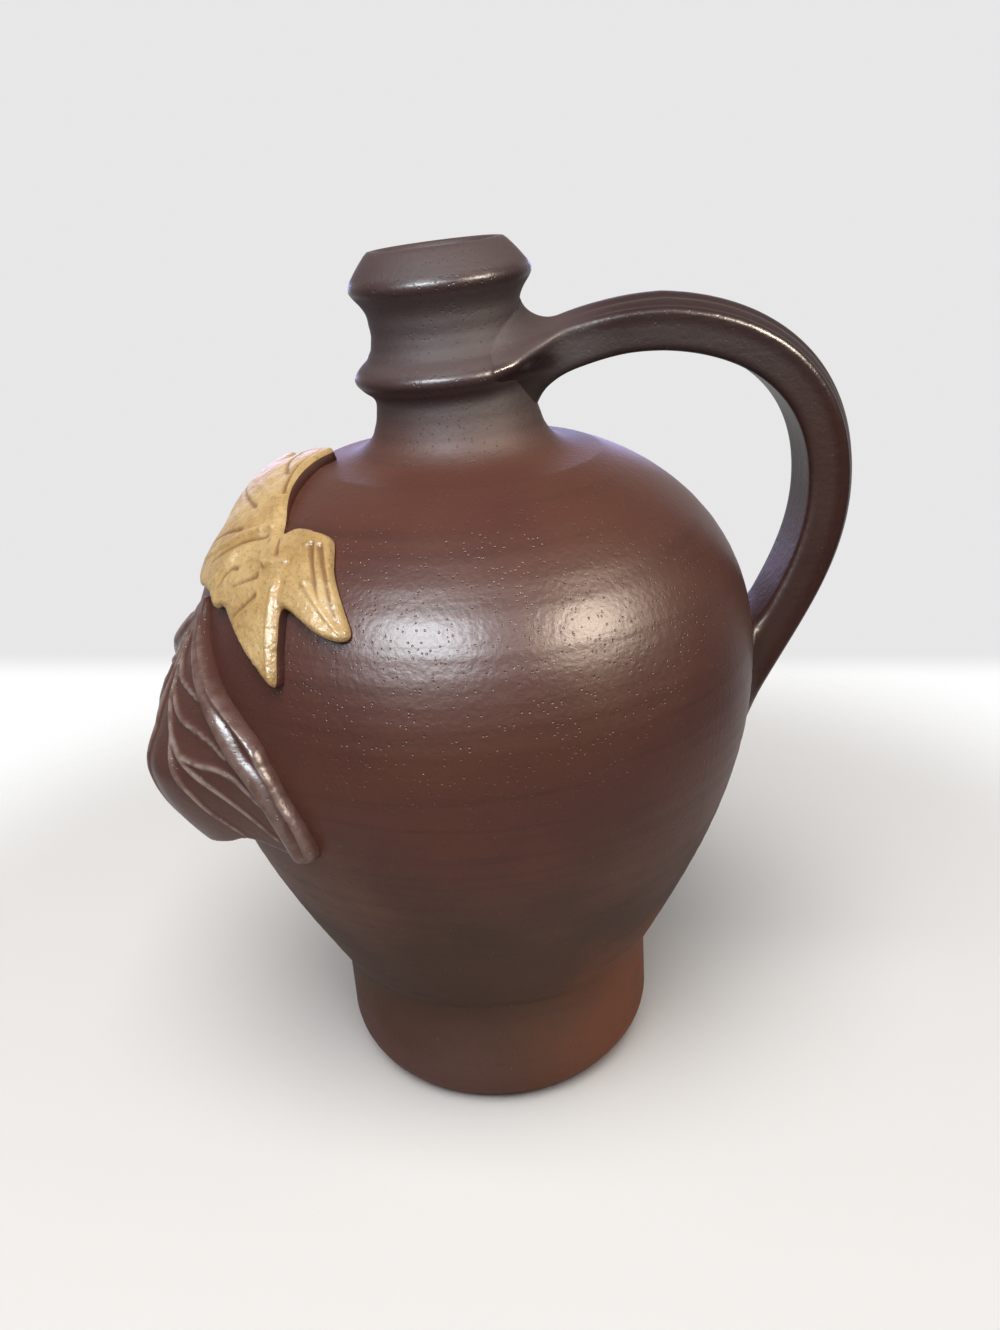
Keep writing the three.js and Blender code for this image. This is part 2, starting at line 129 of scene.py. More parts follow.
# How far the strap's lines are moved at steps from its root: x, y away from the middle, and z,
# in millimetres.
ROOT_STEPS = [0, 6.2, 12.7, 19.3, 25.8, 38, 50]
ROOT_EDGE_SHIFT = [
    (-5, 17.2, -6.6), (-1.6, 13, -5.8), (-0.4, 5.7, -3.8), (-0.2, 1.1, -1.8),
    (0, 0.2, -1.4), (0, 0, -0.6), (0, 0, 0),
]
ROOT_CROWN_SHIFT = [
    (9, 0, -3.5), (3.2, 0, -3.5), (0.3, 0, -3.4), (0, 0, -3.4),
    (0, 0, -2.6), (0, 0, -1.2), (0, 0, 0),
]
ROOT_LOW_EDGE_SHIFT = [
    (3, -8, -5), (-0.5, -6.5, -5.5), (-0.6, -3, -4.6), (-0.3, -0.6, -2.6),
    (0, 0, -1.6), (0, 0, -0.4), (0, 0, 0),
]
ROOT_INNER_SHIFT = [
    (4, 0, -7), (0.5, 0, -7), (-0.6, 0, -4.8), (-0.3, 0, -2.6),
    (0, 0, -1.6), (0, 0, -0.4), (0, 0, 0),
]
ROOT_CORE_RADIUS = 23.8 * MM
ROOT_SMEAR = 13 * MM
ROOT_SMEAR_ACROSS = 0.6
SEAT_SMEAR = 7 * MM
ROOT_SMEAR_EDGE = 0.3 * MM
SEAT_SMEAR_EDGE = 0.8 * MM

# Leaves: places on the belly are (azimuth, rise) in degrees, heights are above the belly.
OCHRE_THICKNESS = 5 * MM
OCHRE_THINNING = 2 * MM
OCHRE_THINNING_AZIMUTH = (176, 204)
OCHRE_CURL = 4 * MM
OCHRE_CURL_RISE = 55
OCHRE_CURL_SPREAD = 13
OCHRE_MARGIN_RISE = 50
OCHRE_MARGIN_SLOPE = 0.52
OCHRE_MARGIN_AZIMUTH = (229, 236)
OCHRE_MARGIN_THINNING = 2.4 * MM
OCHRE_NOTCH = (216, 51)
OCHRE_NOTCH_SPREAD = 10
OCHRE_OUTLINE = [
    (219, 49), (224, 51), (230, 51), (236, 50), (240, 42), (244, 35), (247, 29), (245.5, 27),
    (241, 28), (232, 32), (232.5, 25), (233.5, 16), (229, 18.5), (224, 22), (215.5, 28),
    (211, 27), (206, 29), (198, 28.5), (192, 31), (189, 36), (188, 42), (172, 46), (163, 55),
    (166, 62), (176, 62), (171, 69), (179, 75), (188, 71.5), (197, 66), (213, 54),
]
OCHRE_RIBS = [
    [(228.6, 36.5), (229.6, 32), (230.8, 25), (232.6, 17.5)],
    [(214, 49.5), (208.4, 45.6), (199, 36.9), (193, 33)],
    [(210.4, 39.6), (208.3, 34.5), (207, 30)],
    [(236, 38), (239.5, 34.5), (243.5, 30.5), (245.5, 28.5)],
    [(222.5, 40.6), (226, 41.4), (229.5, 42.2)],
]
OCHRE_FAINT_RIBS = [
    [(226, 40), (231, 38), (236, 35.5), (241, 31.5)],
    [(226, 40), (230, 45), (233, 49)],
    [(226, 40), (218, 41), (210.4, 39.6)],
    [(226, 40), (214, 50), (200, 60), (186, 68), (179, 73)],
    [(205, 56), (190, 55), (175, 54)],
    [(236, 49), (240, 41.5), (243.5, 35), (246, 29.5)],
]
OCHRE_GROOVES = [
    [(232.8, 47), (236.4, 41), (239.8, 35), (242.8, 31)],
    [(235, 47), (238.9, 41), (242.2, 35), (244.8, 30.5)],
    [(215, 46.5), (209.5, 43), (201, 34.5)],
    [(214, 37), (211.8, 36), (210.4, 31)],
    [(224, 43), (221, 47)],
    [(222, 37), (216, 33)],
    [(224, 33), (220, 27)],
    [(204, 45), (197, 41), (191.5, 37)],
    [(201, 51), (190, 50.5), (177, 49.5)],
    [(197, 62), (185, 63.5), (174, 67)],
    [(206, 58), (195, 65), (184, 71)],
]
RIB_HEIGHT = 1.3 * MM
FAINT_RIB_HEIGHT = 0.5 * MM
RIB_WIDTH = 2.2 * MM
GROOVE_DEPTH = -0.8 * MM
GROOVE_WIDTH = 1.3 * MM
BROWN_MIDDLE = 201
BROWN_EDGE_LIFT = 2.2 * MM
BROWN_BULGE = 18.5 * MM
BROWN_BULGE_RISE = -11
BROWN_BULGE_ACROSS = 15.5
BROWN_BULGE_ABOVE = 18
BROWN_BULGE_BELOW = 30
BROWN_HALF_OUTLINE = [
    (201, 27), (205.5, 21.5), (210.7, 16.2), (216.3, 10.6), (222.3, 6.6), (227.2, 3), (230.2, -1.7),
    (232.5, -8.4), (234.8, -14.5), (236.6, -22), (236.2, -26), (233, -27.2), (227, -26.8),
    (219.5, -26), (212, -30), (201, -34),
]
BROWN_INNER_STRAND = [
    (202, 22), (206.5, 16.8), (211.8, 12), (217.2, 6.3), (221.3, 1.6), (224.9, -2.4),
    (228.2, -8.4), (230.9, -15.8), (233.2, -25),
]
BROWN_OUTER_STRAND = [
    (205, 20.5), (210.3, 15.2), (215.6, 10.6), (222, 6.2), (226.8, 2.6), (229.7, -2),
    (232, -8.6), (234.3, -14.8), (236, -24.5),
]
BROWN_VEINS = [
    [(201, 16), (201, 0), (201, -15), (201, -30)],
    [(202, 17), (203.4, 9), (205.8, 3), (211.5, -5), (218.5, -12), (228, -22)],
    [(210.2, -3.2), (214, -4.3), (218, -4.5), (222, -6.5), (226.5, -12)],
    [(207.3, 0.5), (209.6, -8), (212, -13), (214.5, -18), (219, -23.5)],
    [(204.2, 7), (208.8, 3.4), (213, 2.2), (217, 1), (220, -1)],
    [(203.3, 12), (206, 9.4), (209, 8.5), (212.5, 7.5)],
]
INNER_STRAND_HEIGHT = 3 * MM
INNER_STRAND_WIDTH = 3.9 * MM
OUTER_STRAND_HEIGHT = 2.2 * MM
OUTER_STRAND_WIDTH = 1.7 * MM
VEIN_HEIGHT = 1.3 * MM
VEIN_WIDTH = 1.05 * MM
# A worked line's relative sizes at its start, a quarter on and at its end, and the power that
# makes the mound of its section sharper.
SIZE_PLACES = (0, 0.25, 1)
RIB_SIZES = (1.0, 0.8, 0.3)
VEIN_SIZES = (1.1, 1.2, 0.75)
INNER_STRAND_SIZES = (0.15, 0.85, 1.0)
OUTER_STRAND_SIZES = (0.4, 1.0, 1.2)
RIB_SHARPNESS = 1.5
STRAND_SHARPNESS = 0.8
OCHRE_EDGE_ROUND = 1.8 * MM
BROWN_EDGE_ROUND = 1 * MM
LEAF_SINK = 1.5 * MM
BROWN_SOFTENINGS = 2
SOFTENING = 0.5

# Fineness of the meshes
TURN_STEPS = 200
FINE_STEP = 0.8 * MM
WIDE_STEP = 1.6 * MM
FOOT_EDGE_STEPS = 14
FOOT_FLARE_STEPS = 12
SHOULDER_STEPS = 64
INSIDE_STEPS = 52
FILLET_STEPS = 8
STRAP_STATIONS = 220
STRAP_PATH_STEPS = 64
SECTION_STEPS = 36
SIDE_STEPS = 9
INNER_FACE_STEPS = 15
CORNER_STEPS = 6
LEAF_GRAIN = 0.6 * MM
LEAF_EDGE_CLEARANCE = 0.6 * LEAF_GRAIN
LINE_STEP = 0.25
RISE_NUDGE = 0.5
SEAM_GAP = 0.01 * MM
DOUBLES_GAP = 0.001 * MM
TINY = 1e-6

# Glazes
PURPLE_BROWN = (0.098, 0.034, 0.026)
NECK_BROWN = (0.072, 0.04, 0.04)
RED_BROWN = (0.108, 0.036, 0.021)
OLIVE_BROWN = (0.044, 0.013, 0.001)
FOOT_BROWN = (0.066, 0.018, 0.001)
RUST_BROWN = (0.19, 0.042, 0.008)
# Dark brown of the streaks and pits, also laid over the handle as painted shade.
DARK_BROWN = (0.03, 0.014, 0.012)
LEAF_BROWN = (0.115, 0.054, 0.043)
# Painted sheen: a pale violet-grey laid on the brown leaf's veins and strands where their
# highlights fall.
PAINTED_SHEEN_BROWN = (0.46, 0.37, 0.34)
PALE_FLECK = (0.28, 0.17, 0.12)
OCHRE = (0.48, 0.3, 0.115)
# Pale ochre: a random tone of the glaze, and also a painted sheen laid on the ochre leaf's ribs.
PALE_OCHRE = (0.66, 0.47, 0.22)
# Dark brown of the ochre leaf's specks and grain, also laid in its grooves as painted shade.
DARK_SPECK_AND_GROOVE_SHADE = (0.16, 0.065, 0.025)
GLAZE_SPECULAR = 0.13
# How strongly one glaze, a painted shade or a painted sheen lies over another, at its strongest.
FOOT_SHARE = 0.7
RUST_SHARE = 0.8
UNDER_SHARE = 0.7
HANDLE_SHADE_SHARE = 0.7
STREAK_SHARE = 0.3
PIT_SHARE = 0.45
SPECK_SHARE = 0.25
LEAF_SHARE = 0.75
# Painted sheen on the brown leaf's veins, and a smaller share of it on the strands.
LEAF_SHEEN_SHARE = 0.7
STRAND_SHEEN_SHARE = 0.4
OCHRE_RIB_SHEEN_SHARE = 0.5
OCHRE_GROOVE_SHADE_SHARE = 0.8
OCHRE_GRAIN_SHARE = 0.3
OCHRE_SPECK_SHARE = 0.4
# Where a glaze lies: it starts at the first level or place and is full at the second. Clouds
# make the low levels wander.
GLAZE_WANDER = 90 * MM
OLIVE_LEVELS = (150 * MM, 60 * MM)
FOOT_LEVELS = (55 * MM, 35 * MM)
RUST_LEVELS = (85 * MM, 30 * MM)
RUST_SIDE = (-10 * MM, 55 * MM)
UNDER_LEVELS = (45 * MM, 10 * MM)
UNDER_SIDE = (20 * MM, -30 * MM)
NECK_LEVELS = (235 * MM, 262 * MM)
# Painted shade on the handle: it grows from the first place out from the axis to the second, and is
# full on the strap's sides and inner face below its top edge.
HANDLE_SHADE_SIDE = (30 * MM, 58 * MM)
HANDLE_SHADE_HEIGHTS = (12.5 * MM, 10.5 * MM)
NECK_MATT_LEVELS = (225 * MM, 250 * MM)
NECK_MATT_SIDE = (55 * MM, 30 * MM)
RIDGE_SIDE = (36 * MM, 28 * MM)
RIDGE_REACH = (4.2 * MM, 0.6 * MM)
# Patterns: cells to the metre and detail, or for flecks cells to the metre, size and share.
BROWN_CLOUD = (24, 4.0)
BROWN_STREAK = (40, 3.0)
STREAK_STRETCH = (0.3, 0.3, 7)
BROWN_GRAIN = (520, 3.0)
BROWN_PITS = (800, 0.34, 0.3)
BROWN_SPECKS = (620, 0.28, 0.02)
SHEEN_GRAIN = (220, 3.0)
OCHRE_CLOUD = (60, 4.0)
OCHRE_GRAIN = (420, 4.0)
OCHRE_LUMPS = (130, 2.0)
OCHRE_SPECKS = (1100, 0.42, 0.4)
FLECK_CORE = 0.4
NOISE_MEAN = 0.5
CLOUD_COLOUR_RANGE = (0.3, 0.7)
CLOUD_MATT_RANGE = (0.25, 0.75)
STREAK_RANGE = (0.5, 0.8)
# How the painted sheen on the brown leaf's lines is broken up, and its least share.
SHEEN_RANGE = (0.35, 0.6)
LEAST_SHEEN = 0.35
OCHRE_GRAIN_RANGE = (0.55, 0.72)
# Roughness from the smoothest to the mattest part, and what is added or taken away.
BODY_ROUGHNESS = (0.36, 0.44)
LEAF_ROUGHNESS = (0.26, 0.34)
OCHRE_ROUGHNESS = (0.3, 0.42)
LOW_MATT = 0.35
NECK_MATT = 0.28
RIDGE_MATT = -0.05
STRAP_EDGE_GLOSS = 0.14
# Relief: its depth, and how much each pattern adds to it.
BROWN_RELIEF = 0.17 * MM
GRAIN_RELIEF = 0.8
STREAK_RELIEF = 0.5
PIT_RELIEF = 0.6
OCHRE_RELIEF = 0.6 * MM
LUMP_RELIEF = 2.5
# A colour Mix node's sockets by number, because its kinds share their names.
MIX_SHARE, MIX_FIRST, MIX_SECOND, MIX_RESULT = 0, 6, 7, 2

# Floor, background and light: the floor fades out between two radii.
FLOOR_COLOUR = (0.88, 0.88, 0.88, 1.0)
FLOOR_FADE = (0.26, 0.42)
FLOOR_STEPS = 64
WHITE = (1.0, 1.0, 1.0)
BACKDROP_GREY = (0.8, 0.8, 0.8)
ROOM_GREY = (0.25, 0.25, 0.27)
PALE_ROOM = (0.9, 0.9, 0.9)
BACKDROP_UP = (0.0745, 0.392, 0.917)
BACKDROP_BLEND = (-0.012, 0.012)
BACKDROP_AHEAD = (0.45, 0.7)
AMBIENT = (1.0, 0.98, 0.95)
AMBIENT_STRENGTH = 0.3
LAMP_AIM = Vector((0.0, -0.05, 0.2))
# Lamps: place, size, watts, colour, and whether they light the colours or only the shine.
LAMPS = {
    "soft_key": ((-0.1, -0.6, 1.4), (1.0, 1.0), 20, (1.0, 0.97, 0.94), "colours"),
    "cool_window": ((-0.31, -0.72, 0.77), (0.54, 0.15), 82, (0.84, 0.94, 1.0), "shine"),
    "warm_lamp": ((0.64, -0.54, 0.68), (0.4, 0.2), 62, (1.0, 0.88, 0.72), "shine"),
    "front_glow": ((-0.05, -0.95, 0.95), (1.6, 0.6), 10, (1.0, 0.97, 1.0), "shine"),
    "violet_window": ((-0.05, 1.0, 0.3), (0.9, 0.25), 4, (0.55, 0.52, 1.0), "shine"),
}

# Camera: it stands where the photograph was taken from.
CAMERA_PLACE = Vector((0, -375, 316.1)) * MM
CAMERA_PITCH = 0.40551
CAMERA_YAW = 0.022617
CAMERA_ROLL = -0.065710
CAMERA_LENS = 30.285
CAMERA_NEAR = 10 * MM


# Node trees

def add_node(tree, kind, inputs=(), **settings):
    """A new node with its settings, and its inputs linked or set by socket name or number."""
    made = tree.nodes.new(kind)
    for name, value in settings.items():
        setattr(made, name, value)
    for socket, value in dict(inputs).items():
        if isinstance(value, bpy.types.NodeSocket):
            tree.links.new(value, made.inputs[socket])
        else:
            made.inputs[socket].default_value = value
    return made


def shape_tree(name, inputs):
    """A geometry tree with named inputs, its input node, and a function that ends it."""
    tree = bpy.data.node_groups.new(name, "GeometryNodeTree")
    for label, kind in inputs:
        tree.interface.new_socket(label, in_out="INPUT", socket_type="NodeSocket" + kind)
    tree.interface.new_socket("Geometry", in_out="OUTPUT", socket_type="NodeSocketGeometry")
    given = tree.nodes.new("NodeGroupInput").outputs

    def end(mesh, glaze, faces=True):
        smooth = add_node(tree, "GeometryNodeSetShadeSmooth", {"Geometry": mesh})
        real = add_node(tree, "GeometryNodeRealizeInstances", {0: smooth.outputs[0]})
        glazed = add_node(tree, "GeometryNodeSetMaterial", {
            "Geometry": real.outputs[0], "Selection": faces, "Material": glaze})
        ending = tree.nodes.new("NodeGroupOutput")
        tree.links.new(glazed.outputs[0], ending.inputs[0])

    return tree, given, end


def calc(tree, operation, *values):
    """The result of a Math node."""
    return add_node(tree, "ShaderNodeMath", dict(enumerate(values)), operation=operation).outputs[0]


def product(tree, first, *others):
    """All the values multiplied together."""
    for value in others:
        first = calc(tree, "MULTIPLY", first, value)
    return first


def swing(tree, pattern, size):
    """Noise that swings about zero, to a size."""
    return product(tree, calc(tree, "SUBTRACT", pattern, NOISE_MEAN), size)


def ranged(tree, value, low, high, to_low=0.0, to_high=1.0):
    """Maps a value smoothly from one range to another."""
    return add_node(tree, "ShaderNodeMapRange", {
        "Value": value, "From Min": low, "From Max": high, "To Min": to_low, "To Max": to_high,
    }, interpolation_type="SMOOTHSTEP").outputs[0]


def split(tree, vector):
    """A vector's X, Y and Z."""
    return add_node(tree, "ShaderNodeSeparateXYZ", {0: vector}).outputs


def combined(tree, *axes):
    """A vector of an X, Y and Z."""
    return add_node(tree, "ShaderNodeCombineXYZ", dict(enumerate(axes))).outputs[0]


def position(tree):
    return add_node(tree, "GeometryNodeInputPosition").outputs[0]


def helper_shape(tree, helper):
    return add_node(tree, "GeometryNodeObjectInfo", {"Object": helper}).outputs["Geometry"]


def stored(tree, shape, name, value):
    """A shape whose points keep a value under a name."""
    return add_node(tree, "GeometryNodeStoreNamedAttribute", {
        "Geometry": shape, "Name": name, "Value": value,
    }, data_type="FLOAT", domain="POINT").outputs[0]


def recalled(tree, name, kind="FLOAT"):
    """A value that a shape keeps under a name."""
    return add_node(
        tree, "GeometryNodeInputNamedAttribute", {"Name": name}, data_type=kind).outputs[0]


def sampled(tree, shape, value, index, kind="FLOAT"):
    """A value at one point of another shape."""
    return add_node(tree, "GeometryNodeSampleIndex", {
        "Geometry": shape, "Value": value, "Index": index,
    }, data_type=kind, domain="POINT").outputs[0]


def new_object(name, data):
    made = bpy.data.objects.new(name, data)
    bpy.context.scene.collection.objects.link(made)
    return made


def line_object(name, lines, closed=False):
    """A helper curve of one poly spline for each line of (point, radius) pairs."""
    curve = bpy.data.curves.new(name, "CURVE")
    curve.dimensions = "3D"
    for line in lines:
        spline = curve.splines.new("POLY")
        spline.points.add(len(line) - 1)
        spline.use_cyclic_u = closed
        for place, (point, radius) in zip(spline.points, line):
            place.co = (*point, 1)
            place.radius = radius
    return new_object(name, curve)


def turn_outward(mesh):
    """Joins doubled points and turns all faces outward."""
    work = bmesh.new()
    work.from_mesh(mesh)
    bmesh.ops.remove_doubles(work, verts=work.verts, dist=DOUBLES_GAP)
    bmesh.ops.recalc_face_normals(work, faces=work.faces)
    work.to_mesh(mesh)
    work.free()


def shaped(piece, tree, settings, helpers):
    """Runs a geometry tree on a piece, keeps the plain mesh, and clears the helper curves."""
    modifier = piece.modifiers.new(tree.name, "NODES")
    modifier.node_group = tree
    for socket in tree.interface.items_tree:
        if socket.in_out == "INPUT" and socket.name in settings:
            modifier[socket.identifier] = settings[socket.name]
    evaluated = piece.evaluated_get(bpy.context.evaluated_depsgraph_get())
    mesh = bpy.data.meshes.new_from_object(evaluated)
    piece.modifiers.clear()
    piece.data = mesh
    turn_outward(mesh)
    for helper in helpers:
        bpy.data.objects.remove(helper)
    return piece


# Lines

def smooth_line(points, step):
    """A smooth curve through the points, with points of its own about a step apart."""
    points = np.asarray(points, float)
    padded = np.vstack([2 * points[0] - points[1], points, 2 * points[-1] - points[-2]])
    made = [points[:1]]
    for before, start, end, after in zip(padded, padded[1:], padded[2:], padded[3:]):
        count = max(int(np.linalg.norm(end - start) / step), 1)
        share = (np.arange(1, count + 1) / count)[:, None]
        made.append(0.5 * (
            2 * start + (end - before) * share
            + (2 * before - 5 * start + 4 * end - after) * share ** 2
            + (3 * start - before - 3 * end + after) * share ** 3))
    return np.vstack(made)


def closed_line(points, step):
    """A smooth closed curve through the points."""
    points = [tuple(point) for point in points]
    line = smooth_line([points[-1], *points, points[0], points[1]], step)
    gaps = np.linalg.norm(line - np.array(points[0]), axis=1)
    half = len(line) // 2
    return line[np.argmin(gaps[:half]):half + np.argmin(gaps[half:])]


# Thrown wall

def belly_line(rise, lift=0.0):
    """Radius and level on the belly at rises in degrees, a lift away from its surface."""
    def surface(turn):
        inward, upward = SHOULDER_ROUNDING
        angle = np.radians(turn)
        low = WAIST_RADIUS + (BELLY_RADIUS - WAIST_RADIUS) * np.cos(angle)
        narrowing = np.cos(angle).clip(0) ** inward
        high = NECK_BASE_RADIUS + (BELLY_RADIUS - NECK_BASE_RADIUS) * narrowing
        low_level = BELLY_LEVEL + (BELLY_LEVEL - WAIST_LEVEL) * turn / 90
        climb = np.sin(angle).clip(0) ** upward
        high_level = BELLY_LEVEL + (SHOULDER_LEVEL - BELLY_LEVEL) * climb
        return np.where(turn < 0, low, high), np.where(turn < 0, low_level, high_level)

    rise = np.asarray(rise, float)
    radius, level = surface(rise)
    radius_before, level_before = surface(np.maximum(rise - RISE_NUDGE, -90))
    radius_after, level_after = surface(np.minimum(rise + RISE_NUDGE, 90))
    across, along = radius_after - radius_before, level_after - level_before
    length = np.hypot(across, along)
    return radius + lift * along / length, level - lift * across / length


def on_belly(azimuth, rise, lift):
    """Points on the belly, a lift away from its surface."""
    radius, level = belly_line(rise, lift)
    turn = np.radians(azimuth)
    return np.stack([radius * np.cos(turn), radius * np.sin(turn), level], axis=-1)


def outer_line():
    """The wall's outside from the foot's edge to the lip, before the neck leans."""
    edge = np.linspace(0, 1, FOOT_EDGE_STEPS)
    foot_edge = np.column_stack([
        FOOT_RADIUS - FOOT_EDGE_INSET * (1 - edge) ** 2, FOOT_EDGE_HEIGHT * edge])
    flare = np.linspace(0, 1, FOOT_FLARE_STEPS)
    foot_flare = np.column_stack([
        FOOT_RADIUS + FOOT_FLARE * flare ** 2, FOOT_TOP - FOOT_FLARE_HEIGHT * (1 - flare)])
    low = np.linspace(WAIST_RISE, 0, int((BELLY_LEVEL - WAIST_LEVEL) / WIDE_STEP))
    high = np.linspace(SHOULDER_START, SHOULDER_END, SHOULDER_STEPS)
    belly = np.column_stack(belly_line(np.concatenate([low, high])))
    neck = np.array(NECK_LINE) * MM + (0, NECK_SEAT)
    neck = smooth_line(np.vstack([belly[-1], neck]), FINE_STEP)[1:]
    return np.vstack([foot_edge, foot_flare, belly, neck])


def inner_line():
    """The wall's inside from the lip down to the floor."""
    lip = smooth_line(np.array(LIP_LINE) * MM + (0, NECK_SEAT), FINE_STEP)[1:]
    bore = smooth_line([
        lip[-1], (BORE_RADIUS, NECK_SEAT + BORE_BEND_LEVEL),
        (BORE_BASE_RADIUS, NECK_SEAT), (BORE_BASE_RADIUS + WALL / 2, SHOULDER_LEVEL - WALL),
    ], 2 * WIDE_STEP)[1:]
    rise = np.linspace(SHOULDER_END, INSIDE_WAIST_RISE, INSIDE_STEPS)
    belly = np.column_stack(belly_line(rise, -WALL))
    turn = np.linspace(0, math.pi / 2, FILLET_STEPS)
    inner = FOOT_RADIUS - WALL
    fillet = np.column_stack([
        inner - FLOOR_FILLET * (1 - np.cos(turn)),
        FLOOR_THICKNESS + FLOOR_FILLET * (1 - np.sin(turn)),
    ])
    return np.vstack([lip, bore, belly, fillet, (0, FLOOR_THICKNESS)])


def thrown_wall_tree():
    """Turns a profile about Z with throwing marks, cuts back the collar and leans the neck."""
    tree, given, end = shape_tree("thrown_wall", [
        ("Profile", "Object"), ("Turn Steps", "Int"), ("Seam Gap", "Float"),
        ("Ring Depth", "Float"), ("Ring Pitch", "Float"), ("Wobble", "Float"),
        ("Wobble Scale", "Float"), ("Wobble Rise", "Float"), ("Mark Fade Radius", "Float"),
        ("Bore Radius", "Float"), ("Collar Level", "Float"), ("Collar Height", "Float"),
        ("Collar Cut", "Float"), ("Cut Start", "Float"), ("Cut Full", "Float"),
        ("Neck Seat", "Float"), ("Neck Lean", "Float"), ("Bend Run", "Float"),
        ("Glaze", "Material"),
    ])
    profile = helper_shape(tree, given["Profile"])
    rows = add_node(tree, "GeometryNodeAttributeDomainSize", {
        "Geometry": profile}, component="CURVE").outputs["Point Count"]
    grid = add_node(tree, "GeometryNodeMeshGrid", {
        "Vertices X": calc(tree, "ADD", given["Turn Steps"], 1), "Vertices Y": rows})
    # The grid is 1 wide about its middle: X becomes the turn, and Y the point of the profile.
    place = split(tree, position(tree))
    turn = product(tree, calc(tree, "ADD", place["X"], 0.5), 2 * math.pi)
    row = product(tree, calc(tree, "ADD", place["Y"], 0.5), calc(tree, "SUBTRACT", rows, 1))
    point = sampled(tree, profile, position(tree), calc(tree, "ROUND", row), "FLOAT_VECTOR")
    line = split(tree, point)
    radius, level = line["X"], line["Z"]
    cosine, sine = calc(tree, "COSINE", turn), calc(tree, "SINE", turn)

    rings = add_node(tree, "ShaderNodeTexNoise", {
        "W": calc(tree, "DIVIDE", level, given["Ring Pitch"]), "Scale": 1.0, "Detail": 2.0,
    }, noise_dimensions="1D").outputs[0]
    around = combined(tree, cosine, sine, product(tree, level, given["Wobble Rise"]))
    wobble = add_node(tree, "ShaderNodeTexNoise", {
        "Vector": around, "Scale": given["Wobble Scale"], "Detail": 1.0}).outputs[0]
    swell = calc(tree, "ADD", swing(tree, rings, given["Ring Depth"]),
                 swing(tree, wobble, given["Wobble"]))
    off_axis = calc(tree, "DIVIDE", radius, given["Mark Fade Radius"])
    swell = product(tree, swell, calc(tree, "MINIMUM", off_axis, 1.0))
    radius = calc(tree, "ADD", radius, swell)

    above = calc(tree, "SUBTRACT", level, given["Neck Seat"])
    off_collar = calc(tree, "DIVIDE", calc(tree, "SUBTRACT", above, given["Collar Level"]),
                      given["Collar Height"])
    on_collar = calc(tree, "EXPONENT", product(tree, off_collar, off_collar, -1.0))
    outside = calc(tree, "GREATER_THAN", radius, given["Bore Radius"])
    at_strap = ranged(tree, cosine, calc(tree, "COSINE", given["Cut Start"]),
                      calc(tree, "COSINE", given["Cut Full"]))
    cut = product(tree, on_collar, at_strap, outside, given["Collar Cut"])
    radius = calc(tree, "SUBTRACT", radius, cut)

    bent = add_node(tree, "ShaderNodeClamp", {
        "Value": calc(tree, "DIVIDE", above, given["Bend Run"])}).outputs[0]
    lean = product(tree, given["Neck Lean"], bent)
    leaning = calc(tree, "SINE", lean)
    half_bend = product(tree, given["Bend Run"], bent, 0.5)
    sway = product(tree, leaning, calc(tree, "SUBTRACT", above, half_bend))
    across = product(tree, radius, cosine)
    placed = combined(
        tree, calc(tree, "SUBTRACT", product(tree, across, calc(tree, "COSINE", lean)), sway),
        product(tree, radius, sine), calc(tree, "ADD", level, product(tree, across, leaning)))
    wall = add_node(tree, "GeometryNodeSetPosition", {
        "Geometry": grid.outputs["Mesh"], "Position": placed})
    joined = add_node(tree, "GeometryNodeMergeByDistance", {
        "Geometry": wall.outputs[0], "Distance": given["Seam Gap"]})
    end(joined.outputs[0], given["Glaze"])
    return tree


def thrown_wall(glaze):
    line = np.vstack([(0, 0), outer_line(), inner_line()])
    profile = line_object("wall_profile", [[((radius, 0, level), 1) for radius, level in line]])
    wall = new_object("thrown_wall", bpy.data.meshes.new("thrown_wall"))
    return shaped(wall, thrown_wall_tree(), {
        "Profile": profile, "Turn Steps": TURN_STEPS, "Seam Gap": SEAM_GAP,
        "Ring Depth": RING_DEPTH, "Ring Pitch": RING_PITCH, "Wobble": WOBBLE,
        "Wobble Scale": WOBBLE_SCALE, "Wobble Rise": WOBBLE_RISE,
        "Mark Fade Radius": MARK_FADE_RADIUS, "Bore Radius": BORE_BASE_RADIUS,
        "Collar Level": COLLAR_LEVEL, "Collar Height": COLLAR_HEIGHT, "Collar Cut": COLLAR_CUT,
        "Cut Start": COLLAR_CUT_START, "Cut Full": COLLAR_CUT_FULL, "Neck Seat": NECK_SEAT,
        "Neck Lean": NECK_LEAN, "Bend Run": NECK_BEND_RUN, "Glaze": glaze,
    }, [profile])


# Handle

def strap_section():
    """The strap's section: flat towards the hand, crowned and grooved on the outside."""
    half = STRAP_WIDTH / 2
    across = np.linspace(half - STRAP_CORNER, STRAP_CORNER - half, SECTION_STEPS)
    groove = np.exp(-((np.abs(across) - STRAP_GROOVE_PLACE) / STRAP_GROOVE_WIDTH) ** 2)
    crown = STRAP_SIDE + STRAP_CROWN * (1 - (across / half) ** 2) - STRAP_GROOVE * groove
    turn = np.linspace(0, math.pi / 2, CORNER_STEPS)[1:-1]
    sine, cosine = STRAP_CORNER * np.sin(turn), STRAP_CORNER * np.cos(turn)
    corner = STRAP_CORNER - half
    shoulder = crown[0] - STRAP_CORNER
    left_top = np.column_stack([corner - sine, shoulder + cosine])
    left_side = np.column_stack([
        np.full(SIDE_STEPS, -half), np.linspace(shoulder, STRAP_CORNER, SIDE_STEPS)])
    left_low = np.column_stack([corner - cosine, STRAP_CORNER - sine])
    inside = np.column_stack([
        np.linspace(corner, -corner, INNER_FACE_STEPS), np.zeros(INNER_FACE_STEPS)])
    left = np.vstack([left_top, left_side, left_low])
    right = (left * (-1, 1))[::-1]
    return np.vstack([np.column_stack([across, crown]), left, inside, right])


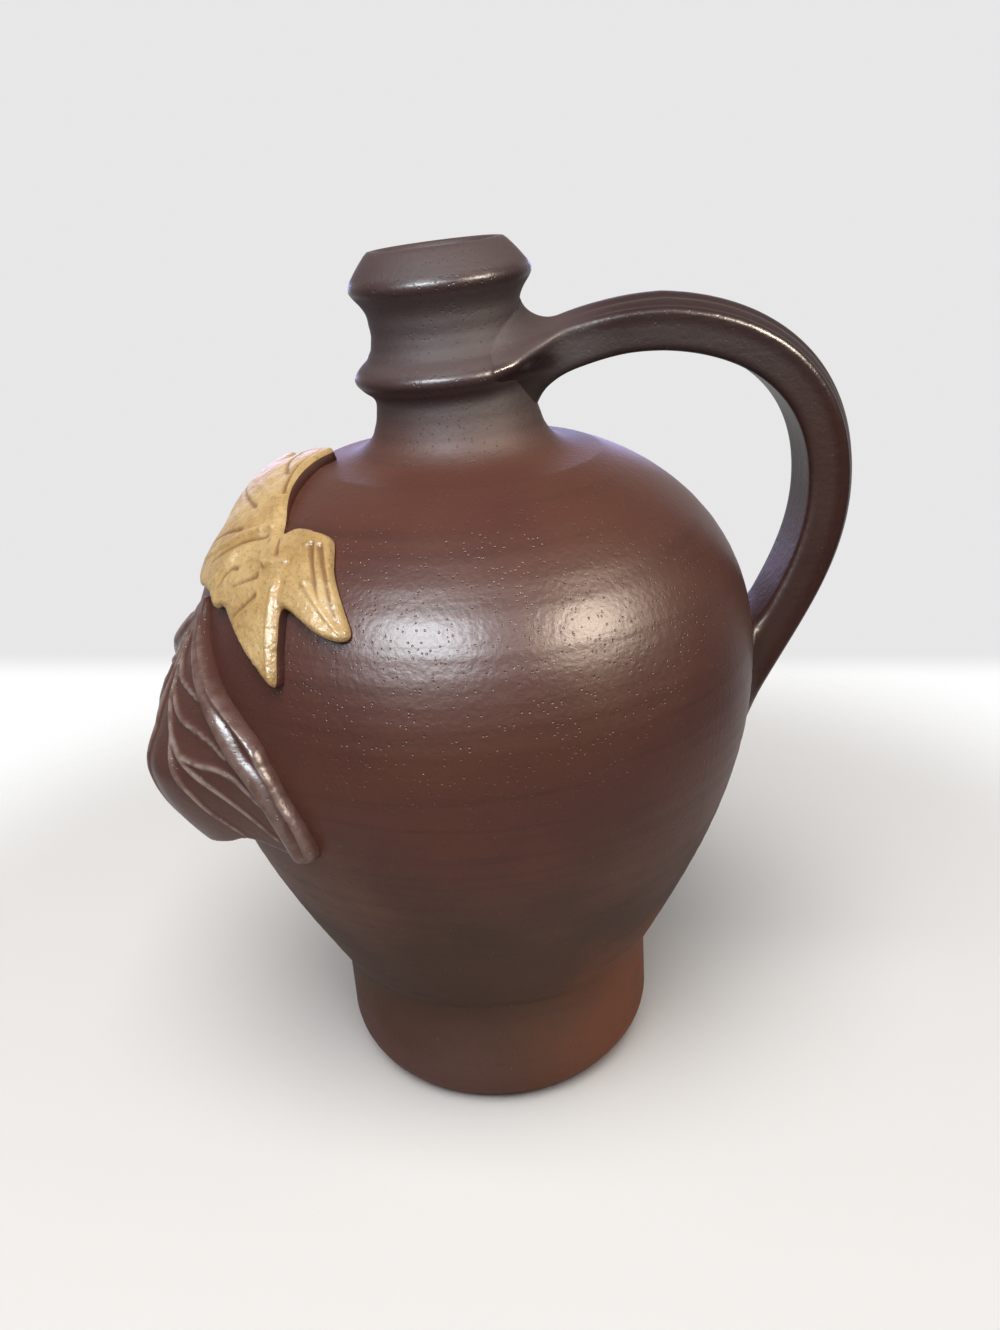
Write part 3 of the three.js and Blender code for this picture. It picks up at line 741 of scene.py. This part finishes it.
def strap_path():
    """The strap's inner face as a Bezier curve from the neck to the belly."""
    curve = bpy.data.curves.new("strap_path", "CURVE")
    curve.dimensions = "3D"
    curve.resolution_u = STRAP_PATH_STEPS
    bends = [
        (STRAP_ROOT, -STRAP_ROOT_PULL, STRAP_ROOT_PULL),
        (STRAP_REACH, STRAP_TOP_PULL, STRAP_LOW_PULL),
        (STRAP_SEAT, STRAP_SEAT_PULL, -STRAP_SEAT_PULL),
    ]
    spline = curve.splines.new("BEZIER")
    spline.bezier_points.add(len(bends) - 1)
    for place, (point, before, after) in zip(spline.bezier_points, bends):
        place.co = point
        place.handle_left_type = place.handle_right_type = "FREE"
        place.handle_left = point + before
        place.handle_right = point + after
    return new_object("strap_path", curve)


def pulled_strap_tree():
    """Draws a section along a path, and keeps each point's way along and height in the section."""
    tree, given, end = shape_tree("pulled_strap", [
        ("Path", "Object"), ("Section", "Object"), ("Stations", "Int"), ("Glaze", "Material"),
    ])
    height = product(tree, split(tree, position(tree))["Y"], -1.0)
    section = stored(tree, helper_shape(tree, given["Section"]), "height", height)
    even = add_node(tree, "GeometryNodeResampleCurve", {
        "Curve": helper_shape(tree, given["Path"]), "Count": given["Stations"]}).outputs[0]
    length = add_node(tree, "GeometryNodeSplineParameter").outputs["Length"]
    strap = add_node(tree, "GeometryNodeCurveToMesh", {
        "Curve": stored(tree, even, "along", length), "Profile Curve": section,
        "Fill Caps": True})
    end(strap.outputs[0], given["Glaze"])
    return tree


def mesh_points(mesh):
    points = np.zeros(len(mesh.vertices) * 3)
    mesh.vertices.foreach_get("co", points)
    return points.reshape(-1, 3)


def wall_distance(points):
    """Distance from the wall's outside, with the neck as a plain core, and the way off it."""
    above = points[:, 2] - NECK_SEAT
    bent = (above / NECK_BEND_RUN).clip(0, 1)
    lean = NECK_LEAN * bent
    sway = np.sin(lean) * (above - NECK_BEND_RUN * bent / 2)
    upright_x = (points[:, 0] + sway) * np.cos(lean)
    upright_z = points[:, 2] - upright_x * np.sin(lean)
    radius = np.hypot(upright_x, points[:, 1])
    line = outer_line()
    slope = np.gradient(line, axis=0)
    slope /= np.linalg.norm(slope, axis=1)[:, None]
    gap = np.stack([radius, upright_z], axis=1)[:, None] - line
    nearest = np.argmin((gap ** 2).sum(2), axis=1)
    pick = np.arange(len(points))
    out = np.column_stack([slope[nearest, 1], -slope[nearest, 0]])
    distance = (gap[pick, nearest] * out).sum(1)
    on_neck = above > 0
    distance[on_neck] = radius[on_neck] - ROOT_CORE_RADIUS
    out[on_neck] = (1, 0)
    away = np.column_stack([
        out[:, 0] * upright_x / radius, out[:, 0] * points[:, 1] / radius, out[:, 1]])
    return distance, away


def point_values(mesh, name):
    values = np.zeros(len(mesh.vertices))
    mesh.attributes[name].data.foreach_get("value", values)
    return values


def move_points(mesh, points):
    mesh.vertices.foreach_set("co", points.ravel())
    mesh.update()


def root_shift(along, shifts):
    """How far one of the strap's lines is moved at places along it."""
    line = smooth_line(np.column_stack([ROOT_STEPS, shifts]) * MM, FINE_STEP)
    return np.column_stack([np.interp(along, line[:, 0], line[:, axis]) for axis in (1, 2, 3)])


def flare_root(mesh):
    """Spreads the strap's sides round the collar and lets its underside run down the neck."""
    points = mesh_points(mesh)
    along = point_values(mesh, "along")
    upper = (point_values(mesh, "height") / STRAP_SIDE).clip(0, 1)[:, None]
    aside = (points[:, 1:2] / (STRAP_WIDTH / 2)).clip(-1, 1)
    lower = 1 - upper
    edge = (upper * root_shift(along, ROOT_EDGE_SHIFT)
            + lower * root_shift(along, ROOT_LOW_EDGE_SHIFT))
    middle = (upper * root_shift(along, ROOT_CROWN_SHIFT)
              + lower * root_shift(along, ROOT_INNER_SHIFT))
    shift = edge * aside ** 2 + middle * (1 - aside ** 2)
    shift[:, 1:2] *= np.sign(aside)
    move_points(mesh, points + shift)


def smear_onto_wall(mesh):
    """Spreads the strap's ends along the wall in a fillet, as a potter's thumb does.

    At the root it spreads less across the neck, and downwards only under the strap's middle.
    """
    points = mesh_points(mesh)
    normals = np.array([vertex.normal for vertex in mesh.vertices])
    distance, away = wall_distance(points)
    at_root = points[:, 2] > SHOULDER_LEVEL
    smear = np.where(at_root, ROOT_SMEAR, SEAT_SMEAR)
    edge = np.where(at_root, ROOT_SMEAR_EDGE, SEAT_SMEAR_EDGE)
    reach = (smear - distance.clip(edge)).clip(0)
    spread = smear - np.sqrt(smear ** 2 - reach ** 2)
    flat = normals - (normals * away).sum(1)[:, None] * away
    flat /= np.linalg.norm(flat, axis=1)[:, None].clip(TINY)
    flat[at_root, :2] *= ROOT_SMEAR_ACROSS
    aside = (np.abs(points[:, 1]) / (STRAP_WIDTH / 2)).clip(0, 1)
    flat[:, 2] *= np.where(at_root & (flat[:, 2] < 0), 1 - aside ** 2, 1)
    move_points(mesh, points + flat * spread[:, None])


def pulled_handle(glaze):
    outline = [((across, -out, 0), 1) for across, out in strap_section()]
    section = line_object("strap_section", [outline], closed=True)
    path = strap_path()
    handle = new_object("pulled_handle", bpy.data.meshes.new("pulled_handle"))
    shaped(handle, pulled_strap_tree(), {
        "Path": path, "Section": section, "Stations": STRAP_STATIONS, "Glaze": glaze,
    }, [path, section])
    flare_root(handle.data)
    smear_onto_wall(handle.data)
    return handle


# Leaves

def ochre_height(azimuth, rise):
    """The ochre leaf's height: thin aside with a curl, and thin at its margin and notch."""
    share = ((azimuth - OCHRE_THINNING_AZIMUTH[0]) / np.ptp(OCHRE_THINNING_AZIMUTH)).clip(0, 1)
    aside = 1 - share ** 2 * (3 - 2 * share)
    curl = OCHRE_CURL * np.exp(-((rise - OCHRE_CURL_RISE) / OCHRE_CURL_SPREAD) ** 2)
    across = azimuth + OCHRE_MARGIN_SLOPE * (rise - OCHRE_MARGIN_RISE)
    to_margin = (across - OCHRE_MARGIN_AZIMUTH[0]) / np.ptp(OCHRE_MARGIN_AZIMUTH)
    margin = to_margin.clip(0, 1) ** 2
    off_notch = np.hypot(azimuth - OCHRE_NOTCH[0], rise - OCHRE_NOTCH[1]) / OCHRE_NOTCH_SPREAD
    thin = np.maximum(margin, np.exp(-off_notch ** 2))
    return OCHRE_THICKNESS + aside * (curl - OCHRE_THINNING) - OCHRE_MARGIN_THINNING * thin


def brown_height(azimuth, rise):
    """The brown leaf's height: a bulge that runs out longer below than above."""
    aside = (azimuth - BROWN_MIDDLE) / BROWN_BULGE_ACROSS
    above = rise - BROWN_BULGE_RISE
    up = above / np.where(above > 0, BROWN_BULGE_ABOVE, BROWN_BULGE_BELOW)
    return BROWN_EDGE_LIFT + BROWN_BULGE * np.exp(-aside ** 2 - up ** 2)


def mirrored(line):
    """The same line on the brown leaf's other half."""
    return [(2 * BROWN_MIDDLE - azimuth, rise) for azimuth, rise in line]


def inside_outline(points, outline):
    """True for the points that lie inside a closed outline."""
    found = np.zeros(len(points), bool)
    for (x0, y0), (x1, y1) in zip(outline, np.roll(outline, -1, axis=0)):
        if y0 != y1:
            crosses = (y0 > points[:, 1]) != (y1 > points[:, 1])
            found ^= crosses & (points[:, 0] < x0 + (points[:, 1] - y0) * (x1 - x0) / (y1 - y0))
    return found


def edge_distance(points, edge):
    """How far points lie from the nearest point of an outline."""
    return np.array([np.linalg.norm(edge - point, axis=1).min() for point in points])


def leaf_net(edge):
    """Places and triangles that fill an outline, with the outline's own places first."""
    columns, rows = (
        np.arange(low, high, LEAF_GRAIN) for low, high in zip(edge.min(0), edge.max(0)))
    net = np.stack(np.meshgrid(columns, rows), axis=-1).reshape(-1, 2)
    net = net[inside_outline(net, edge)]
    net = net[edge_distance(net, edge) > LEAF_EDGE_CLEARANCE]
    ring = [(i, (i + 1) % len(edge)) for i in range(len(edge))]
    inside_only, join_gap = 1, 1e-9
    places, _, triangles, *_ = delaunay_2d_cdt(
        [Vector(place) for place in np.vstack([edge, net])], ring, [], inside_only, join_gap)
    return np.array(places), [tuple(triangle) for triangle in triangles], ring


def pressed_leaf(name, outline, height, edge_round):
    """A slab leaf on the belly: a fine net of its top, its edge's wall, and a back in the clay."""
    scale = np.array([math.radians(1) * BELLY_RADIUS, (BELLY_LEVEL - WAIST_LEVEL) / 90])
    edge = closed_line(np.array(outline) * scale, LEAF_GRAIN)
    places, triangles, ring = leaf_net(edge)
    short = (1 - edge_distance(places, edge) / edge_round).clip(0)
    rounding = edge_round * (1 - np.sqrt(1 - short ** 2))
    azimuth, rise = (places / scale).T
    top = on_belly(azimuth, rise, height(azimuth, rise) - rounding)
    back = on_belly(azimuth, rise, -LEAF_SINK)
    out = top - back
    out /= np.linalg.norm(out, axis=1)[:, None]
    size = len(places)
    backs = [tuple(corner + size for corner in reversed(face)) for face in triangles]
    walls = [(a, a + size, b + size, b) for a, b in ring]
    mesh = bpy.data.meshes.new(name)
    mesh.from_pydata(np.vstack([top, back]).tolist(), [], triangles + backs + walls)
    shown = mesh.attributes.new("top", "BOOLEAN", "FACE")
    shown.data.foreach_set("value", np.arange(len(mesh.polygons)) < len(triangles))
    lifted = mesh.attributes.new("out", "FLOAT_VECTOR", "POINT")
    lifted.data.foreach_set("vector", np.vstack([out, np.zeros_like(out)]).ravel())
    mesh.update()
    return new_object(name, mesh)


def worked_lines_tree():
    """Raises or sinks a leaf along lines, tapering with each line's radius, and glazes it."""
    tree, given, end = shape_tree("worked_lines", [
        ("Geometry", "Geometry"), ("Lines", "Object"), ("Height", "Float"), ("Width", "Float"),
        ("Sharpness", "Float"), ("Mark", "String"), ("Top Glaze", "Material"),
        ("Side Glaze", "Material"),
    ])
    size = add_node(tree, "GeometryNodeInputRadius").outputs[0]
    curves = stored(tree, helper_shape(tree, given["Lines"]), "taper", size)
    lines = add_node(tree, "GeometryNodeCurveToMesh", {"Curve": curves}).outputs[0]
    nearest = add_node(tree, "GeometryNodeSampleNearest", {
        "Geometry": lines}, domain="POINT").outputs[0]
    spot = sampled(tree, lines, position(tree), nearest, "FLOAT_VECTOR")
    taper = sampled(tree, lines, recalled(tree, "taper"), nearest)
    gap = add_node(tree, "ShaderNodeVectorMath", {
        0: position(tree), 1: spot}, operation="DISTANCE").outputs["Value"]
    share = calc(tree, "DIVIDE", gap, product(tree, given["Width"], taper))
    under = calc(tree, "SUBTRACT", 1.0, product(tree, share, share))
    mound = calc(tree, "POWER", calc(tree, "MAXIMUM", under, 0.0), given["Sharpness"])
    offset = add_node(tree, "ShaderNodeVectorMath", {
        0: recalled(tree, "out", "FLOAT_VECTOR"),
        "Scale": product(tree, mound, taper, given["Height"]),
    }, operation="SCALE").outputs[0]
    marked = stored(tree, given["Geometry"], given["Mark"], mound)
    worked = add_node(tree, "GeometryNodeSetPosition", {"Geometry": marked, "Offset": offset})
    sided = add_node(tree, "GeometryNodeSetMaterial", {
        "Geometry": worked.outputs[0], "Material": given["Side Glaze"]})
    end(sided.outputs[0], given["Top Glaze"], recalled(tree, "top", "BOOLEAN"))
    return tree


def work_lines(leaf, tree, lines, height, look, sizes=RIB_SIZES):
    """Works lines of (azimuth, rise) places into a leaf."""
    drawn = []
    for line in lines:
        places = smooth_line(line, LINE_STEP)
        points = on_belly(*places.T, height(*places.T))
        share = np.linspace(0, 1, len(points))
        drawn.append(list(zip(points, np.interp(share, SIZE_PLACES, sizes))))
    helper = line_object("worked_lines", drawn)
    shaped(leaf, tree, {"Lines": helper, **look}, [helper])


def soften(mesh, times):
    """Softens a leaf's worked top, as damp clay settles."""
    work = bmesh.new()
    work.from_mesh(mesh)
    out = work.verts.layers.float_vector["out"]
    top = [vertex for vertex in work.verts if vertex[out].length > 0]
    for _ in range(times):
        bmesh.ops.smooth_vert(work, verts=top, factor=SOFTENING,
                              use_axis_x=True, use_axis_y=True, use_axis_z=True)
    work.to_mesh(mesh)
    work.free()


def ochre_leaf(top_glaze, side_glaze, tree):
    leaf = pressed_leaf("pressed_ochre_leaf", OCHRE_OUTLINE, ochre_height, OCHRE_EDGE_ROUND)
    for lines, height, width, name in (
            (OCHRE_FAINT_RIBS, FAINT_RIB_HEIGHT, RIB_WIDTH, "faint"),
            (OCHRE_RIBS, RIB_HEIGHT, RIB_WIDTH, "raised"),
            (OCHRE_GROOVES, GROOVE_DEPTH, GROOVE_WIDTH, "sunk")):
        work_lines(leaf, tree, lines, ochre_height, {
            "Height": height, "Width": width, "Sharpness": RIB_SHARPNESS, "Mark": name,
            "Top Glaze": top_glaze, "Side Glaze": side_glaze})
    return leaf


def brown_leaf(glaze, tree):
    outline = BROWN_HALF_OUTLINE + mirrored(BROWN_HALF_OUTLINE)[-2:0:-1]
    leaf = pressed_leaf("pressed_brown_leaf", outline, brown_height, BROWN_EDGE_ROUND)
    veins = BROWN_VEINS + [mirrored(line) for line in BROWN_VEINS[1:]]
    inner = [BROWN_INNER_STRAND, mirrored(BROWN_INNER_STRAND)]
    outer = [BROWN_OUTER_STRAND, mirrored(BROWN_OUTER_STRAND)]
    for lines, height, width, sharpness, name, sizes in (
            (veins, VEIN_HEIGHT, VEIN_WIDTH, RIB_SHARPNESS, "raised", VEIN_SIZES),
            (inner, INNER_STRAND_HEIGHT, INNER_STRAND_WIDTH, STRAND_SHARPNESS, "inner",
             INNER_STRAND_SIZES),
            (outer, OUTER_STRAND_HEIGHT, OUTER_STRAND_WIDTH, STRAND_SHARPNESS, "outer",
             OUTER_STRAND_SIZES)):
        work_lines(leaf, tree, lines, brown_height, {
            "Height": height, "Width": width, "Sharpness": sharpness, "Mark": name,
            "Top Glaze": glaze, "Side Glaze": glaze}, sizes)
    soften(leaf.data, BROWN_SOFTENINGS)
    return leaf


# Glazes

def glaze_tree(name):
    """A glaze, its node tree and shader, and the object's coordinates to paint it by."""
    glaze = bpy.data.materials.new(name)
    glaze.use_nodes = True
    tree = glaze.node_tree
    shader = tree.nodes["Principled BSDF"]
    shader.inputs["Specular IOR Level"].default_value = GLAZE_SPECULAR
    place = add_node(tree, "ShaderNodeTexCoord").outputs["Object"]
    return glaze, tree, shader.inputs, place


def noise(tree, place, scale, detail, stretch=(1, 1, 1)):
    """Noise on the object's coordinates, with a scale in cells to the metre."""
    mapping = add_node(tree, "ShaderNodeMapping", {"Vector": place, "Scale": stretch})
    return add_node(tree, "ShaderNodeTexNoise", {
        "Vector": mapping.outputs[0], "Scale": scale, "Detail": detail}).outputs[0]


def mixed(tree, share, first, second):
    """A colour between two others, each a socket or a red, green and blue."""
    first, second = (
        (*colour, 1) if isinstance(colour, tuple) else colour for colour in (first, second))
    return add_node(tree, "ShaderNodeMix", {
        MIX_SHARE: share, MIX_FIRST: first, MIX_SECOND: second,
    }, data_type="RGBA").outputs[MIX_RESULT]


def coated(tree, colour, coat, share, *masks):
    """A colour with a share of another over it, where all the masks are 1."""
    return mixed(tree, product(tree, *masks, share), colour, coat)


def flecks(tree, place, scale, size, share):
    """Round flecks in a share of the cells of a pattern, 1 at their centres."""
    cells = add_node(tree, "ShaderNodeTexVoronoi", {"Vector": place, "Scale": scale})
    near = ranged(tree, cells.outputs["Distance"], size, size * FLECK_CORE)
    pick = add_node(tree, "ShaderNodeSeparateColor", {0: cells.outputs["Color"]}).outputs[0]
    return product(tree, near, calc(tree, "LESS_THAN", pick, share))


def mark(tree, name):
    """A value that a geometry tree left on the mesh, or 0 where it left none."""
    return add_node(tree, "ShaderNodeAttribute", attribute_name=name).outputs["Fac"]


def bumped(tree, inputs, height, depth):
    node = add_node(tree, "ShaderNodeBump", {"Height": height, "Strength": 1.0, "Distance": depth})
    tree.links.new(node.outputs[0], inputs["Normal"])


def near_level(tree, level, height):
    """1 where a level is close to a height, and 0 away from it."""
    return ranged(
        tree, calc(tree, "ABSOLUTE", calc(tree, "SUBTRACT", level, height)), *RIDGE_REACH)


def brown_roughness(tree, axes, cloud, low, leaf):
    """Satin, matt low on the body and on the neck, smooth on ridges that hands rub."""
    up_neck = calc(tree, "SUBTRACT", axes["Z"], product(tree, axes["X"], math.tan(NECK_LEAN)))
    ridges = calc(tree, "MAXIMUM", near_level(tree, up_neck, NECK_SEAT + LIP_RIDGE_LEVEL),
                  near_level(tree, up_neck, NECK_SEAT + COLLAR_LEVEL))
    ridges = product(tree, ranged(tree, axes["X"], *RIDGE_SIDE), ridges)
    neck = product(tree, ranged(tree, axes["Z"], *NECK_MATT_LEVELS),
                   ranged(tree, axes["X"], *NECK_MATT_SIDE),
                   ranged(tree, ridges, 0.0, 1.0, NECK_MATT, RIDGE_MATT))
    strap_edge = near_level(tree, mark(tree, "height"), STRAP_EDGE_HEIGHT)
    matt = calc(tree, "ADD", product(tree, low, LOW_MATT), neck)
    matt = calc(tree, "SUBTRACT", matt, product(tree, strap_edge, STRAP_EDGE_GLOSS))
    satin = LEAF_ROUGHNESS if leaf else BODY_ROUGHNESS
    return calc(tree, "ADD", ranged(tree, cloud, *CLOUD_MATT_RANGE, *satin), matt)


def brown_glaze(name, leaf=False, dark=0.0):
    """Purple-brown satin glaze, olive low on the body, red-brown on one side of the foot; dark lays
    a painted shade over the handle, and a leaf gets a painted sheen on its veins and strands.
    """
    glaze, tree, inputs, place = glaze_tree(name)
    axes = split(tree, place)
    cloud = noise(tree, place, *BROWN_CLOUD)
    streak = noise(tree, place, *BROWN_STREAK, STREAK_STRETCH)
    grain = noise(tree, place, *BROWN_GRAIN)
    pits = product(tree, flecks(tree, place, *BROWN_PITS), 1 - dark)
    specks = flecks(tree, place, *BROWN_SPECKS)
    uneven = calc(tree, "ADD", axes["Z"], swing(tree, cloud, GLAZE_WANDER))
    low = ranged(tree, uneven, *OLIVE_LEVELS)
    # Where the handle's painted shade lies: out along the strap, and below its top edge.
    painted_shade_place = calc(tree, "MAXIMUM", ranged(tree, axes["X"], *HANDLE_SHADE_SIDE),
                    ranged(tree, mark(tree, "height"), *HANDLE_SHADE_HEIGHTS))

    colour = mixed(tree, ranged(tree, cloud, *CLOUD_COLOUR_RANGE), PURPLE_BROWN, RED_BROWN)
    colour = mixed(tree, low, colour, OLIVE_BROWN)
    colour = coated(tree, colour, FOOT_BROWN, FOOT_SHARE, ranged(tree, axes["Z"], *FOOT_LEVELS))
    colour = coated(tree, colour, RUST_BROWN, RUST_SHARE, ranged(tree, axes["X"], *RUST_SIDE),
                    ranged(tree, uneven, *RUST_LEVELS))
    colour = mixed(tree, ranged(tree, axes["Z"], *NECK_LEVELS), colour, NECK_BROWN)
    colour = coated(tree, colour, PURPLE_BROWN, UNDER_SHARE,
                    ranged(tree, axes["X"], *UNDER_SIDE), ranged(tree, uneven, *UNDER_LEVELS))
    # Painted shade: darkens the handle away from its root and on its sides and inner face.
    colour = coated(tree, colour, DARK_BROWN, dark, painted_shade_place)
    colour = coated(tree, colour, DARK_BROWN, STREAK_SHARE, ranged(tree, streak, *STREAK_RANGE))
    colour = coated(tree, colour, DARK_BROWN, PIT_SHARE, pits)
    if leaf:
        colour = mixed(tree, LEAF_SHARE, colour, LEAF_BROWN)
        # Painted sheen: a pale coat on the raised veins and, weaker, on the strand crests, broken
        # up by noise.
        sheen_breakup = ranged(tree, noise(tree, place, *SHEEN_GRAIN), *SHEEN_RANGE, LEAST_SHEEN, 1.0)
        strands = calc(tree, "MAXIMUM", mark(tree, "inner"), mark(tree, "outer"))
        sheen_lines = calc(tree, "MAXIMUM", mark(tree, "raised"), product(tree, strands, STRAND_SHEEN_SHARE))
        colour = coated(tree, colour, PAINTED_SHEEN_BROWN, LEAF_SHEEN_SHARE, sheen_lines, sheen_breakup)
    colour = coated(tree, colour, PALE_FLECK, SPECK_SHARE, specks)
    tree.links.new(colour, inputs["Base Color"])
    tree.links.new(brown_roughness(tree, axes, cloud, low, leaf), inputs["Roughness"])
    height = calc(tree, "ADD", product(tree, grain, GRAIN_RELIEF),
                  product(tree, streak, STREAK_RELIEF))
    height = calc(tree, "SUBTRACT", height, product(tree, pits, PIT_RELIEF))
    bumped(tree, inputs, height, BROWN_RELIEF)
    return glaze


def ochre_glaze():
    """Ochre glaze, with a painted sheen on its ribs and painted shade in its grooves, speckled all
    over.
    """
    glaze, tree, inputs, place = glaze_tree("ochre_glaze")
    cloud = noise(tree, place, *OCHRE_CLOUD)
    grain = noise(tree, place, *OCHRE_GRAIN)
    lumps = noise(tree, place, *OCHRE_LUMPS)
    colour = mixed(tree, ranged(tree, cloud, *CLOUD_COLOUR_RANGE), OCHRE, PALE_OCHRE)
    # Painted sheen on the ribs and painted shade in the grooves; the grain and specks are the
    # glaze's own.
    for coat, share, mask in (
            (PALE_OCHRE, OCHRE_RIB_SHEEN_SHARE, mark(tree, "raised")),
            (DARK_SPECK_AND_GROOVE_SHADE, OCHRE_GROOVE_SHADE_SHARE, mark(tree, "sunk")),
            (DARK_SPECK_AND_GROOVE_SHADE, OCHRE_GRAIN_SHARE, ranged(tree, grain, *OCHRE_GRAIN_RANGE)),
            (DARK_SPECK_AND_GROOVE_SHADE, OCHRE_SPECK_SHARE, flecks(tree, place, *OCHRE_SPECKS))):
        colour = coated(tree, colour, coat, share, mask)
    tree.links.new(colour, inputs["Base Color"])
    rough = ranged(tree, cloud, *CLOUD_MATT_RANGE, *OCHRE_ROUGHNESS)
    tree.links.new(rough, inputs["Roughness"])
    height = calc(tree, "ADD", grain, product(tree, lumps, LUMP_RELIEF))
    bumped(tree, inputs, height, OCHRE_RELIEF)
    return glaze


# Stage

def camera():
    """The camera, turned by the photograph's pitch, yaw and roll."""
    sin_pitch, cos_pitch = math.sin(CAMERA_PITCH), math.cos(CAMERA_PITCH)
    sin_yaw, cos_yaw = math.sin(CAMERA_YAW), math.cos(CAMERA_YAW)
    level = Vector((cos_yaw, -sin_yaw, 0))
    ahead = Vector((cos_pitch * sin_yaw, cos_pitch * cos_yaw, -sin_pitch))
    upward = Vector((sin_pitch * sin_yaw, sin_pitch * cos_yaw, cos_pitch))
    right = math.cos(CAMERA_ROLL) * level + math.sin(CAMERA_ROLL) * upward
    top = math.cos(CAMERA_ROLL) * upward - math.sin(CAMERA_ROLL) * level
    data = bpy.data.cameras.new("camera")
    data.lens = CAMERA_LENS
    data.clip_start = CAMERA_NEAR
    made = new_object("camera", data)
    turned = Matrix((right, top, -ahead)).transposed()
    made.matrix_world = Matrix.Translation(CAMERA_PLACE) @ turned.to_4x4()
    bpy.context.scene.camera = made


def lamp(name, place, size, watts, colour, lights):
    """A soft lamp aimed at the jug, out of the camera's sight."""
    data = bpy.data.lights.new(name, "AREA")
    data.shape = "RECTANGLE"
    data.size, data.size_y = size
    data.energy = watts
    data.color = colour
    made = new_object(name, data)
    made.location = place
    made.rotation_euler = (LAMP_AIM - Vector(place)).to_track_quat("-Z", "Y").to_euler()
    made.visible_camera = False
    made.visible_diffuse = lights == "colours"
    made.visible_glossy = lights == "shine"


def floor():
    """A pale round floor that keeps the shadow and fades into the background."""
    data = bpy.data.meshes.new("floor")
    turn = np.linspace(0, 2 * math.pi, FLOOR_STEPS, endpoint=False)
    rim = np.column_stack([np.cos(turn), np.sin(turn), np.zeros(FLOOR_STEPS)]) * FLOOR_FADE[1]
    data.from_pydata(rim.tolist(), [], [tuple(range(FLOOR_STEPS))])
    paint = bpy.data.materials.new("pale_floor")
    paint.use_nodes = True
    tree = paint.node_tree
    shader = tree.nodes["Principled BSDF"].inputs
    shader["Base Color"].default_value = FLOOR_COLOUR
    shader["Roughness"].default_value = 1.0
    shader["Specular IOR Level"].default_value = 0.0
    place = add_node(tree, "ShaderNodeTexCoord").outputs["Object"]
    away = add_node(tree, "ShaderNodeVectorMath", {0: place}, operation="LENGTH").outputs["Value"]
    tree.links.new(ranged(tree, away, FLOOR_FADE[1], FLOOR_FADE[0]), shader["Alpha"])
    data.materials.append(paint)
    new_object("floor", data)


def studio():
    """Soft studio light, and a background that is grey above and white below the floor's line."""
    scene = bpy.context.scene
    scene.view_settings.view_transform = "Standard"
    scene.world = bpy.data.worlds.new("studio")
    scene.world.use_nodes = True
    tree = scene.world.node_tree
    seen = tree.nodes["Background"]
    direction = add_node(tree, "ShaderNodeTexCoord").outputs["Generated"]
    above = add_node(tree, "ShaderNodeVectorMath", {
        0: direction, 1: BACKDROP_UP}, operation="DOT_PRODUCT").outputs["Value"]
    backdrop = mixed(tree, ranged(tree, above, *BACKDROP_BLEND), WHITE, BACKDROP_GREY)
    path = add_node(tree, "ShaderNodeLightPath").outputs
    room = mixed(tree, path["Is Camera Ray"], ROOM_GREY, PALE_ROOM)
    ahead = ranged(tree, split(tree, direction)["Y"], *BACKDROP_AHEAD)
    tree.links.new(mixed(tree, ahead, room, backdrop), seen.inputs["Color"])
    ambient = add_node(tree, "ShaderNodeBackground", {
        "Color": (*AMBIENT, 1), "Strength": AMBIENT_STRENGTH})
    mirrors = calc(tree, "MAXIMUM", path["Is Glossy Ray"], path["Is Transmission Ray"])
    shows = calc(tree, "MAXIMUM", path["Is Camera Ray"], mirrors)
    both = add_node(tree, "ShaderNodeMixShader", {
        0: shows, 1: ambient.outputs[0], 2: seen.outputs[0]})
    tree.links.new(both.outputs[0], tree.nodes["World Output"].inputs["Surface"])
    for name, settings in LAMPS.items():
        lamp(name, *settings)


def keep_piece(piece, slot, *nodes):
    """Says what a piece rides on and hides the solids it replaces; its slot is not used."""
    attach(piece, "root")
    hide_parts(*nodes)


camera()
floor()
studio()

body_glaze = brown_glaze("brown_glaze")
handle_glaze = brown_glaze("brown_handle_painted_shade_glaze", dark=HANDLE_SHADE_SHARE)
leaf_glaze = brown_glaze("brown_leaf_glaze", leaf=True)
line_tree = worked_lines_tree()
laid_on = [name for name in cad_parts
           if name.startswith(("leaf_vein", "leaf_midrib", "leaf_roll"))]
keep_piece(thrown_wall(body_glaze), "brown_glaze", "foot", "belly", "neck")
keep_piece(pulled_handle(handle_glaze), "brown_glaze", "handle")
keep_piece(ochre_leaf(ochre_glaze(), body_glaze, line_tree), "ochre_glaze", "ochre_leaf")
keep_piece(brown_leaf(leaf_glaze, line_tree), "brown_glaze", "brown_leaf", *laid_on)
